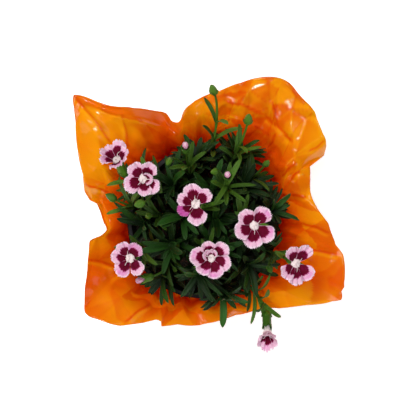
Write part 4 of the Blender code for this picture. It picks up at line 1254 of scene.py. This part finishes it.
def fine_petal_point(petal, u, v, plan, fuller):
    axis, side, other = petal.axes
    inner = petal.tilt < 0.1
    notch = plan.tooth_depth * petal_tooth(u, petal.seed) * v ** 14
    broad = petal.half_width / petal.length
    reach = v * (1.01 - 0.5 * broad * abs(u) ** 2.6) - notch
    length = petal.length * (INNER_LONGER if inner else 1.0)
    bend = petal.droop - petal.rise - (INNER_LEANS_OUT if inner else 0.0)
    angle = petal.rise + bend * reach
    radius = PETAL_START + length * (math.sin(angle) - math.sin(petal.rise)) / bend
    height = PETAL_FOOT_HEIGHT + length * (math.cos(petal.rise) - math.cos(angle)) / bend
    half = PETAL_FOOT_HALF_WIDTH + (petal.half_width * fuller - PETAL_FOOT_HALF_WIDTH) * v ** 0.95
    widest = 1.3 if inner else 0.66 * max(1.0, fuller - 0.07)
    turn = petal.turn + u * min(half / radius, widest)
    ruffle = math.sin(4.2 * u + petal.seed) + 0.7 * math.sin(9.0 * u + 2.3 * petal.seed)
    frill = 0.35 * math.sin(21 * u + 5 * petal.seed) * v ** 6
    lift = u * half * math.sin(petal.tilt) + plan.petal_wave * v * v * (0.5 * ruffle + frill)
    crown = -0.0006 * math.cos(u * math.pi / 2) * math.sin(math.pi * v)
    out = way(side, other, turn)
    return petal.place + out * radius + axis * (height + lift + crown)


def fine_petal(shape, petal, plan, flush, fuller):
    rows = [0.0, 0.10, 0.20, 0.30, 0.40, 0.50, 0.60, 0.70, 0.78, 0.85, 0.90, 0.94, 0.97, 1.0]
    columns = np.linspace(-1, 1, 4 * TEETH_ACROSS + 1)
    grid = [[fine_petal_point(petal, u, v, plan, fuller) for u in columns] for v in rows]
    verts, faces = thin_sheet(grid, -PETAL_SHEET)
    faces = [face[::-1] for face in faces]
    places = [((u + 1) / 2, v) for v in rows for u in columns]
    count = len(places)
    blush = [0.0] * count
    if flush:
        blush = [flush * min(1.0, max(0.0, (v - 0.5) * 4)) for v in rows for _ in columns]
    shape.add(verts, faces, places * 2, under=[0.0] * count + [1.0] * count, flush=blush * 2)


def fine_heart(shape, place, axes, draw):
    """The crumpled pale tuft that fills the throat, and two curled styles."""
    foot = CALYX_RADIUS - CALYX_WALL - GAP - LIP
    rows = [
        (0.0002, -0.0055), (0.9 * foot, -0.0055), (1.05 * foot, 0.0005), (0.0024, 0.0024), (0.0032, 0.0036),
        (0.0034, 0.0044), (0.0030, 0.0050), (0.0022, 0.0054), (0.0012, 0.0056), (0.0002, 0.0056),
    ]
    seed = draw.uniform(0, 100)

    def swell(row, angle):
        if row < 3:
            return 1.0, 0.0
        rough = noise.noise(polar(2.2, angle, row * 0.9 + seed))
        fine = noise.noise(polar(6, angle, row * 2.0 + seed))
        return 1 + 0.34 * rough + 0.10 * fine, 0.0009 * rough + 0.0005 * fine

    shape.add(*spun(place, axes, rows, 36, swell), pale=1.0)
    axis, side, other = axes
    start_turn = draw.uniform(0, 6.28)
    for k in range(2):
        turn = start_turn + k * 2.4
        out = way(side, other, turn)
        points, radii = [], []
        for i in range(9):
            t = i / 8
            aside, up = 0.0008 + 0.0052 * t ** 1.4, 0.0040 + 0.0050 * math.sin(2.4 * t)
            points.append(place + out * aside + axis * up)
            radii.append(0.00038 * (1 - 0.55 * t))
        verts, faces = tube(points, radii, 7)
        shape.add(verts, faces, [(0.5, 0.1)] * len(verts), pale=1.0)


def dress_blooms(plant, plan, material):
    for index, (node, petals) in enumerate(sorted(plant["petals"].items())):
        draw = random.Random(5000 + index)
        shape = Shape(("under", "flush", "pale"))
        for k, petal in enumerate(petals):
            flush, fuller = FLUSHED.get((index, k), 0.0), FULLER.get(index, USUAL_FULLER)
            fine_petal(shape, petal, plan, flush, fuller)
        fine_heart(shape, petals[0].place, petals[0].axes, draw)
        shape.piece(node.replace("bloom", "petals"), material, [node])


def dress_bud_tips(plant, material):
    """The furled petals of each opening bud, wound round each other."""
    for node, (mouth, axes, radius) in sorted(plant["tips"].items()):
        plug = radius - CALYX_WALL - GAP - 0.0002
        rows = [
            (0.0002, -0.0040), (0.7 * plug, -0.0040), (plug, -0.0006), (1.15 * plug, 0.0012),
            (1.32 * plug, 0.0028), (1.25 * plug, 0.0042), (1.00 * plug, 0.0052), (0.60 * plug, 0.0057),
            (0.0002, 0.0054),
        ]

        def swell(row, angle):
            late = max(0.0, (row - 2) / 6)
            wound = tooth_wave(angle + 1.5 * late, 5) - 0.5
            return 1 + 0.22 * late * wound, 0.0007 * late * wound

        shape = Shape()
        shape.add(*spun(mouth, axes, rows, 40, swell))
        shape.piece(node.replace("bud_tip", "bud_petals"), material, [node])


# Film, pot and peat


def edge_out(angle):
    """How far the fine film's cut edge lies outside the plain one at an angle, with its folds' steps."""
    place = angle / FLUTTER_DEGREES
    low = math.floor(place)
    start, end = (random.Random(600 + (low + k) % int(360 / FLUTTER_DEGREES)).uniform(-1, 1) for k in (0, 1))
    flutter = FLUTTER_OUT * (start + (end - start) * (place - low))
    for (at, out), (next_at, next_out) in zip(EDGE_STEPS, EDGE_STEPS[1:]):
        if at <= angle <= next_at:
            return flutter + 0.001 * (out + (next_out - out) * (angle - at) / (next_at - at))
    return flutter


def fold_lines(x, y):
    """(rise, shade) of the sharp folds that cross the lobes, at a place in plan. The shade is painted: a
    shadow along one side of each fold and a highlight along the other.
    """
    rise, shade = 0.0, 0.0
    spot = Vector((x, y))
    for start, end, height, breadth in FOLDS:
        start, end = Vector(start) / 1000, Vector(end) / 1000
        run = end - start
        share = (spot - start).dot(run) / run.length_squared
        off = run.cross(spot - start) / run.length + 0.0005 * math.sin(9 * share)
        if 0 < share < 1:
            ends = min(1.0, 7 * share, 7 * (1 - share))
            rise += height * ends * max(0.0, 1 - abs(off) / breadth)
            # Painted shadow beside the fold on one side, painted highlight on the other.
            painted_shadow_side = max(0.0, 1 - abs(off - 0.0008) / 0.0012)
            thin = max(0.0, 1 - abs(off + 0.0018) / 0.0018)
            shade += ends * (painted_shadow_side - 0.5 * thin)
    return rise, shade


def crumple_facets():
    """The film's crumpled facets: heights from -1 to 1 over (way round the pot, way along the film)."""
    draw = random.Random(321)
    spots, heights = [], []
    for i in range(-3, FACETS_ROUND + 3):
        own = random.Random(400 + i % FACETS_ROUND)
        for j in range(FACETS_ALONG):
            x = (i + 0.5 * (j % 2) + own.uniform(-0.38, 0.38)) * FILM_ROUND / FACETS_ROUND
            y = (j - 0.5 + own.uniform(-0.42, 0.42)) * FILM_ALONG / (FACETS_ALONG - 1.5)
            spots.append(Vector((x, y)))
            heights.append(own.uniform(-1, 1))
    for _ in range(CRUSHED_SPOTS):
        x = FILM_ROUND * draw.uniform(18, 80) / 360
        spots.append(Vector((x, draw.uniform(0.25, 1.05) * FILM_ALONG)))
        heights.append(draw.uniform(-0.9, 0.9))
    verts, _, faces, origins, _, _ = delaunay_2d_cdt(spots, [], [], 0, 1e-6)
    heights = [heights[origin[0]] for origin in origins]
    tree = BVHTree.FromPolygons([(v.x, v.y, height * 0.001) for v, height in zip(verts, heights)], faces)
    tints = [draw.uniform(-1, 1) for _ in faces]
    corners = [[verts[k] for k in face] for face in faces]
    return tree, tints, corners


def facet(facets, angle, along):
    """(height, tint, crease) from -1 to 1 of the facet at an angle in degrees and a share of the flare."""
    tree, tints, corners = facets
    turn = math.radians(angle)
    bent = polar(2.4, turn, 2.0 * along)
    x = FILM_ROUND * angle / 360 + 0.005 * noise.noise(bent)
    y = FILM_ALONG * along + 0.007 * noise.noise(bent + Vector((9, 4, 2)))
    hit, _, index, _ = tree.ray_cast(Vector((x, y, 1)), Vector((0, 0, -1)))
    if not hit:
        return 0.0, 0.0, 0.0
    crease = 0.0
    spot = hit.to_2d()
    for start, end in zip(corners[index], corners[index][1:] + corners[index][:1]):
        off = abs((end - start).cross(spot - start)) / (end - start).length
        sign = math.sin(5000 * (start.x + end.x) + 7000 * (start.y + end.y))
        near = max(0.0, 1 - off / CREASE_HALF_WIDTH) * sign
        crease = near if abs(near) > abs(crease) else crease
    return hit.z * 1000, tints[index], crease


def gather_at(turn):
    """How far the film's gathers stand out at an angle, from 0 to 1."""
    phase = GATHERS * turn + 1.3 * math.sin(3 * turn + 0.4) + 0.9 * math.sin(7 * turn + 1.0)
    return (0.5 + 0.5 * math.sin(phase)) ** 1.4


def wall_point(facets, angle, gather, t):
    """(radius, height, fold share) of the film on the pot's wall, at a share of the way up it."""
    height, tint, _ = facet(facets, angle, 1 - t)
    out = GATHER_DEPTH * gather * (0.25 + 0.75 * t) * (0.8 + 0.3 * height)
    out += 0.0012 * t * (1 - t) * (1 + height)
    share = 0.25 + 0.12 * (1 - gather) + 0.06 * tint
    radius = FILM_FOOT_RADIUS + (FILM_BAND_RADIUS - FILM_FOOT_RADIUS) * t + out
    return radius, FILM_MIDDLE + (FILM_BAND_Z - FILM_MIDDLE) * t, share


def bowed(start, middle, end, t):
    """A place on the curve from start to end that leans towards middle."""
    return (1 - t) ** 2 * start + 2 * t * (1 - t) * middle + t * t * end


def flare_point(facets, angle, gather, t):
    """(radius, height, fold share) of the film's flare, at a share of the way out to its cut edge. The fold
    share holds painted shade too.
    """
    turn = math.radians(angle)
    reach, lift = film_edge(angle)
    start_r = FILM_BAND_RADIUS + GATHER_DEPTH * gather
    r = bowed(start_r, start_r + 0.16 * (reach - start_r), reach, t)
    z = bowed(FILM_BAND_Z, RIM_Z + 0.50 * lift, RIM_Z + lift, t)
    # The gathers run on a little way into the flare
    fade = (1 - t) ** 1.5 * t * 4
    r += 0.0016 * (gather - 0.5) * fade
    z -= 0.0030 * (gather - 0.5) * fade
    # Broad and small waves and the facets, higher where the film is crushed
    spot = polar(r, turn, z)
    crushed = math.exp(-((angle - CRUSHED_AT) / CRUSHED_HALF) ** 2)
    broad = 1 - abs(noise.noise(spot * 26)) * 2.2
    small = 1 - abs(noise.noise(spot * 75 + Vector((7, 3, 1)))) * 2.2
    height, tint, crease = facet(facets, angle, t)
    loose = min(1.0, 2.5 * t)
    waves = 0.0010 * broad * (1.15 - t) + 0.0004 * small
    z += loose * (waves + FACET_HEIGHT * (1 + 0.4 * crushed) * height)
    r += 0.0020 * t * (1 - t) * noise.noise(spot * 40) + edge_out(angle) * t ** 5
    # The sharp folds across the lobes, with their painted shadow and highlight
    rise, shade = fold_lines(r * math.cos(turn), r * math.sin(turn))
    z += rise * min(1.0, 6 * (1 - t) + 0.3)
    # The fold share: higher near the pot and between the gathers, where it stands partly for the gathered
    # layers and partly as painted shade; lower on high facets; a random tint for each facet and along its
    # creases.
    share = 0.23 + 0.38 * (1 - t) ** 1.6 + 0.15 * (1 - gather) * (1 - t) - 0.08 * height
    share += loose * (0.10 * tint + (0.03 + 0.10 * crushed) * crease) + 0.27 * shade
    return r, z, min(1.0, max(0.0, share))


def film_point(facets, angle, row):
    """(radius, height, fold share) of the film at an angle in degrees and a row from 0 to 1. The fold share
    holds painted shade too.
    """
    if row < UNDER_SHARE:
        return FILM_FOOT_RADIUS * (row / UNDER_SHARE), FILM_MIDDLE, 0.7
    gather = gather_at(math.radians(angle))
    if row < FLARE_FROM:
        return wall_point(facets, angle, gather, (row - UNDER_SHARE) / WALL_SHARE)
    return flare_point(facets, angle, gather, (row - FLARE_FROM) / FLARE_SHARE)


def dress_film(material):
    sectors = FILM_SECTORS
    rows = [0.02, 0.07, UNDER_SHARE]
    rows += [UNDER_SHARE + WALL_SHARE * k / WALL_ROWS for k in range(1, WALL_ROWS + 1)]
    rows += [FLARE_FROM + FLARE_SHARE * k / FLARE_ROWS for k in range(1, FLARE_ROWS + 1)]
    points = np.zeros((len(rows), sectors, 3))
    folds = np.zeros((len(rows), sectors))
    facets = crumple_facets()
    for k in range(sectors):
        turn = 2 * math.pi * k / sectors
        for i, row in enumerate(rows):
            r, z, fold = film_point(facets, math.degrees(turn), row)
            points[i, k] = (r * math.cos(turn), r * math.sin(turn), z)
            folds[i, k] = fold
    around = np.roll(points, -1, axis=1) - np.roll(points, 1, axis=1)
    normal = np.cross(around, np.gradient(points, axis=0))
    normal /= np.maximum(np.linalg.norm(normal, axis=2, keepdims=True), 1e-12)
    inner, outer = points - normal * FILM_SHEET / 2, points + normal * FILM_SHEET / 2
    verts = np.concatenate([inner.reshape(-1, 3), outer.reshape(-1, 3)])
    count = len(rows) * sectors
    faces = []
    for a, b, c, d in ring_quads(len(rows), sectors):
        faces += [(a, d, c, b), (a + count, b + count, c + count, d + count)]
    last = (len(rows) - 1) * sectors
    for k in range(sectors):
        n = (k + 1) % sectors
        faces.append((last + k, last + k + count, last + n + count, last + n))
    faces.append(tuple(range(sectors)))
    faces.append(tuple(count + k for k in range(sectors - 1, -1, -1)))
    shape = Shape(("fold",))
    places = [(k / sectors, i / len(rows)) for i in range(len(rows)) for k in range(sectors)]
    shape.add(verts, faces, places * 2, fold=list(folds.ravel()) * 2)
    film = shape.piece("film_sheet", material, ["film_wrap"])


def crumb_swell(seed):
    """How one crumb is lumpy."""
    def swell(row, angle):
        return 1 + 0.5 * noise.noise(polar(1, angle, row + seed)), 0.0

    return swell


def dress_peat(stems, crumb_seed, material):
    """Crumbs of peat on the soil, clear of the stems."""
    draw = random.Random(crumb_seed)
    shape = Shape()
    feet = [stem.foot for stem in stems if stem.foot is not None]
    top_radius = wall_radius(SOIL_Z - POT_FLOOR_Z) - POT_WALL - 0.0035
    placed = 0
    while placed < CRUMBS:
        turn, reach = draw.uniform(0, 2 * math.pi), top_radius * math.sqrt(draw.random())
        size = 0.0005 + 0.0017 * draw.random() ** 2.5
        spot = polar(reach, turn, SOIL_Z + size * 0.35)
        if any(math.hypot(spot.x - foot.x, spot.y - foot.y) < size + CRUMB_CLEAR for foot in feet):
            continue
        rows = [
            (0.1 * size, -size), (0.8 * size, -0.6 * size), (size, 0.0), (0.75 * size, 0.6 * size),
            (0.1 * size, 0.9 * size),
        ]
        swell = crumb_swell(draw.uniform(0, 100))
        axes = axes_of(draw.uniform(0, 360), draw.uniform(0, 60))
        shape.add(*spun(spot, axes, rows, 7, swell))
        placed += 1
    shape.piece("peat_crumbs", material)


# Growing the infill


def grow_infill(garden, plant):
    """More leaves on every shoot, wherever they find room between the others."""
    extra = {}
    for round_number in range(RIM_ROUNDS):
        for k in range(SHOOT_COUNT // 3, SHOOT_COUNT):
            node = numbered("leafy_shoot", k)
            draw = random.Random(8000 + 100 * round_number + k)
            stem, top = plant["stems"][node][0], shoot_top(k)
            t = draw.uniform(0.60, 0.98)
            root, up = stem_point(stem, t), stem_direction(stem, t)
            turn = math.atan2(top.y, top.x) + draw.uniform(-0.9, 0.9)
            out = polar(1, turn)
            out = (out - up * out.dot(up)).normalized()
            rise, droop = math.radians(draw.uniform(40, 66)), math.radians(draw.uniform(-12, 18))
            length, width = LEAF_LENGTH * draw.uniform(0.85, 1.18), LEAF_WIDTH * draw.uniform(0.72, 0.95)
            blade = Blade(root, out, up, rise, droop, length, width)
            add_leaf(garden, extra.setdefault(node, []), node, blade)
    for round_number in range(INFILL_ROUNDS):
        for node in sorted(plant["stems"]):
            leafy = node.startswith("leafy")
            if not leafy and round_number >= STALK_INFILL_ROUNDS:
                continue
            draw = random.Random(9000 + 100 * round_number + sum(map(ord, node)))
            stem = plant["stems"][node][0]
            t = draw.uniform(0.42, 0.99) if leafy else draw.uniform(0.30, 0.74)
            root, up = stem_point(stem, t), stem_direction(stem, t)
            first = draw.uniform(0, 2 * math.pi)
            for angle in (first, first + math.pi):
                out = way(*sides_of(up), angle)
                rise = math.radians(draw.uniform(45, 76))
                droop = math.radians(draw.uniform(-10, 48))
                length = LEAF_LENGTH * draw.uniform(0.50, 0.98)
                width = LEAF_WIDTH * draw.uniform(0.55, 0.90)
                blade = Blade(root, out, up, rise, droop, length, width)
                add_leaf(garden, extra.setdefault(node, []), node, blade)
    return extra


GROWN = {}


def grown():
    """The plant as it has grown, with its infill. It is grown once."""
    if not GROWN:
        garden = Garden()
        for name in ("pot", "film_wrap"):
            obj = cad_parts[name]
            verts = [obj.matrix_world @ v.co for v in obj.data.vertices]
            garden.add(name, verts, [tuple(p.vertices) for p in obj.data.polygons])
        low, high = SOIL_Z - 0.004, SOIL_Z + 0.0016
        disc = ((0, low), (SOIL_DISC_RADIUS, low), (SOIL_DISC_RADIUS, high), (0, high))
        garden.add("soil", *turned(disc, 12))
        GROWN["plant"] = grow_plant(garden)
        GROWN["extra"] = grow_infill(garden, GROWN["plant"])
    return GROWN["plant"], GROWN["extra"]


# Stage


def aim(obj, target):
    obj.rotation_euler = (Vector(target) - obj.location).to_track_quat("-Z", "Y").to_euler()


def soft_light(name, place, target, size, watts, colour):
    data = bpy.data.lights.new(name, "AREA")
    data.shape = "SQUARE"
    data.size = size
    data.energy = watts
    data.color = colour
    light = bpy.data.objects.new(name, data)
    bpy.context.scene.collection.objects.link(light)
    light.location = place
    aim(light, target)


def set_camera():
    data = bpy.data.cameras.new("camera")
    data.sensor_width = 36.0
    data.lens = CAMERA_LENS
    data.clip_start = 0.01
    camera = bpy.data.objects.new("camera", data)
    bpy.context.scene.collection.objects.link(camera)
    camera.location = CAMERA_PLACE
    bpy.context.scene.camera = camera


def set_floor():
    mesh = bpy.data.meshes.new("floor")
    corners = ((-1, -1), (1, -1), (1, 1), (-1, 1))
    mesh.from_pydata([(FLOOR_HALF * x, FLOOR_HALF * y, FLOOR_Z) for x, y in corners], [], [(0, 1, 2, 3)])
    finish = Finish("floor_white", 0.9)
    shade = finish.grain(finish.place(), 3.0)
    finish.colour(finish.blend(shade, (0.93, 0.93, 0.93, 1), (0.96, 0.96, 0.96, 1)))
    finish.shader.inputs["Emission Color"].default_value = WHITE
    finish.shader.inputs["Emission Strength"].default_value = FLOOR_GLOW
    mesh.materials.append(finish.material)
    floor = bpy.data.objects.new("floor", mesh)
    bpy.context.scene.collection.objects.link(floor)


# What a user would change


class DianthusPlan(bpy.types.PropertyGroup):
    """Sizes and colours of the dressed plant."""

    tooth_depth: FloatProperty(
        name="Tooth depth", description="Depth of the petals' teeth as a share of their length",
        default=0.105, min=0.0, max=0.15, subtype="FACTOR",
    )
    petal_wave: FloatProperty(
        name="Petal wave", description="Height of the waves in a petal's rim",
        default=0.0021, min=0.0, max=0.004, unit="LENGTH",
    )
    blotch_start: FloatProperty(
        name="Blotch start", description="Where the dark blotch starts, as a share of the petal's length",
        default=0.25, min=0.0, max=1.0, subtype="FACTOR",
    )
    blotch_end: FloatProperty(
        name="Blotch end", description="Where the dark blotch ends, as a share of the petal's length",
        default=0.69, min=0.0, max=1.0, subtype="FACTOR",
    )
    petal_pink: FloatVectorProperty(
        name="Petal pink", description="The petals' own colour",
        subtype="COLOR", default=tone(241, 194, 219)[:3],
    )
    petal_flush: FloatVectorProperty(
        name="Petal flush", description="The deeper pink that clouds the petals",
        subtype="COLOR", default=tone(232, 150, 206)[:3],
    )
    petal_rim: FloatVectorProperty(
        name="Petal rim", description="The toothed rim's colour",
        subtype="COLOR", default=tone(252, 232, 243)[:3],
    )
    blotch: FloatVectorProperty(
        name="Blotch", description="The blotch's colour",
        subtype="COLOR", default=tone(98, 0, 34)[:3],
    )
    blotch_border: FloatVectorProperty(
        name="Blotch border", description="The colour round the blotch",
        subtype="COLOR", default=tone(168, 20, 104)[:3],
    )
    throat_cream: FloatVectorProperty(
        name="Throat", description="The throat's colour",
        subtype="COLOR", default=tone(246, 224, 224)[:3],
    )
    leaf_dark: FloatVectorProperty(
        name="Dark leaves", description="The darkest leaves' colour",
        subtype="COLOR", default=tone(7, 32, 9)[:3],
    )
    leaf_light: FloatVectorProperty(
        name="Light leaves", description="The lightest leaves' colour",
        subtype="COLOR", default=tone(56, 118, 34)[:3],
    )
    stalk_dark: FloatVectorProperty(
        name="Dark stalks", description="The darkest stalks' colour",
        subtype="COLOR", default=tone(38, 80, 16)[:3],
    )
    stalk_light: FloatVectorProperty(
        name="Light stalks", description="The lightest stalks' and buds' colour",
        subtype="COLOR", default=tone(108, 158, 44)[:3],
    )
    film_lit: FloatVectorProperty(
        name="Film, lit", description="The film's colour where it stands thin",
        subtype="COLOR", default=tone(255, 190, 14)[:3],
    )
    film_orange: FloatVectorProperty(
        name="Film", description="The film's colour over most of it",
        subtype="COLOR", default=tone(240, 112, 3)[:3],
    )
    # The colour of the folds, and also of the painted shade on the film.
    film_fold_and_shade: FloatVectorProperty(
        name="Film, folded", description="The film's colour where folds lie over each other",
        subtype="COLOR", default=tone(216, 58, 2)[:3],
    )
    light_power: FloatProperty(
        name="Light", description="Power of the soft light overhead",
        default=26.0, min=0.0, unit="POWER",
    )
    crumb_seed: IntProperty(
        name="Crumb seed", description="Changes where the crumbs of peat lie",
        default=77, min=0,
    )


def the_plan():
    return bpy.context.scene.dianthus_plan


class DIANTHUS_OT_stage(bpy.types.Operator):
    """Sets the camera over the plant, the soft light and the white floor"""

    bl_idname = "dianthus.stage"
    bl_label = "Stage"

    def execute(self, context):
        set_camera()
        set_floor()
        for name, place, aimed_at, size, share, colour in LIGHTS:
            soft_light(name, place, (0, 0, aimed_at), size, the_plan().light_power * share, colour)
        world = bpy.data.worlds.new("soft_room")
        world.use_nodes = True
        room = world.node_tree.nodes["Background"].inputs
        room["Color"].default_value = WHITE
        room["Strength"].default_value = ROOM_GLOW
        context.scene.world = world
        context.scene.view_settings.view_transform = "Standard"
        return {"FINISHED"}


class DIANTHUS_OT_pot(bpy.types.Operator):
    """Gives the pot its moulded plastic and the soil its peat, and lays crumbs of peat on it"""

    bl_idname = "dianthus.pot"
    bl_label = "Pot and peat"

    def execute(self, context):
        plant, _ = grown()
        peat = peat_finish()
        for name, finish in (("pot", pot_finish()), ("soil", peat)):
            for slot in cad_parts[name].material_slots:
                slot.material = finish
        dress_peat([stems[0] for stems in plant["stems"].values()], the_plan().crumb_seed, peat)
        return {"FINISHED"}


class DIANTHUS_OT_film(bpy.types.Operator):
    """Gathers the orange film round the pot and flares its lobes"""

    bl_idname = "dianthus.film"
    bl_label = "Film wrap"

    def execute(self, context):
        dress_film(film_finish(the_plan()))
        return {"FINISHED"}


class DIANTHUS_OT_shoots(bpy.types.Operator):
    """Builds the leafy shoots"""

    bl_idname = "dianthus.shoots"
    bl_label = "Leafy shoots"

    def execute(self, context):
        plan = the_plan()
        dress_shoots(*grown(), leaf_finish("leaf_finish", plan.leaf_dark, plan.leaf_light, 0.42))
        return {"FINISHED"}


class DIANTHUS_OT_stalks(bpy.types.Operator):
    """Builds the flower and bud stalks with their calyces and shut buds"""

    bl_idname = "dianthus.stalks"
    bl_label = "Stalks and calyces"

    def execute(self, context):
        plan = the_plan()
        dress_stalks(*grown(), leaf_finish("stalk_finish", plan.stalk_dark, plan.stalk_light, 0.45))
        return {"FINISHED"}


class DIANTHUS_OT_blooms(bpy.types.Operator):
    """Builds the open blooms"""

    bl_idname = "dianthus.blooms"
    bl_label = "Blooms"

    def execute(self, context):
        plan = the_plan()
        dress_blooms(grown()[0], plan, petal_finish(plan))
        return {"FINISHED"}


class DIANTHUS_OT_bud_tips(bpy.types.Operator):
    """Builds the furled petals of the opening buds"""

    bl_idname = "dianthus.bud_tips"
    bl_label = "Opening buds"

    def execute(self, context):
        dress_bud_tips(grown()[0], bud_petal_finish())
        return {"FINISHED"}


OPERATORS = (
    DIANTHUS_OT_stage, DIANTHUS_OT_pot, DIANTHUS_OT_film, DIANTHUS_OT_shoots, DIANTHUS_OT_stalks,
    DIANTHUS_OT_blooms, DIANTHUS_OT_bud_tips,
)


class DIANTHUS_PT_panel(bpy.types.Panel):
    """Lists the steps that build the plant, and what can be changed first"""

    bl_label = "Dianthus"
    bl_idname = "DIANTHUS_PT_panel"
    bl_space_type = "VIEW_3D"
    bl_region_type = "UI"
    bl_category = "Dianthus"

    def draw(self, context):
        column = self.layout.column()
        for name in DianthusPlan.__annotations__:
            column.prop(context.scene.dianthus_plan, name)
        for operator in OPERATORS:
            column.operator(operator.bl_idname)


def register():
    for made in (DianthusPlan, *OPERATORS, DIANTHUS_PT_panel):
        bpy.utils.register_class(made)
    bpy.types.Scene.dianthus_plan = PointerProperty(type=DianthusPlan)


def unregister():
    del bpy.types.Scene.dianthus_plan
    for made in reversed((DianthusPlan, *OPERATORS, DIANTHUS_PT_panel)):
        bpy.utils.unregister_class(made)


def main():
    register()
    for operator in OPERATORS:
        group, name = operator.bl_idname.split(".")
        getattr(getattr(bpy.ops, group), name)()
    bpy.context.view_layer.update()


if __name__ == "__main__":
    main()
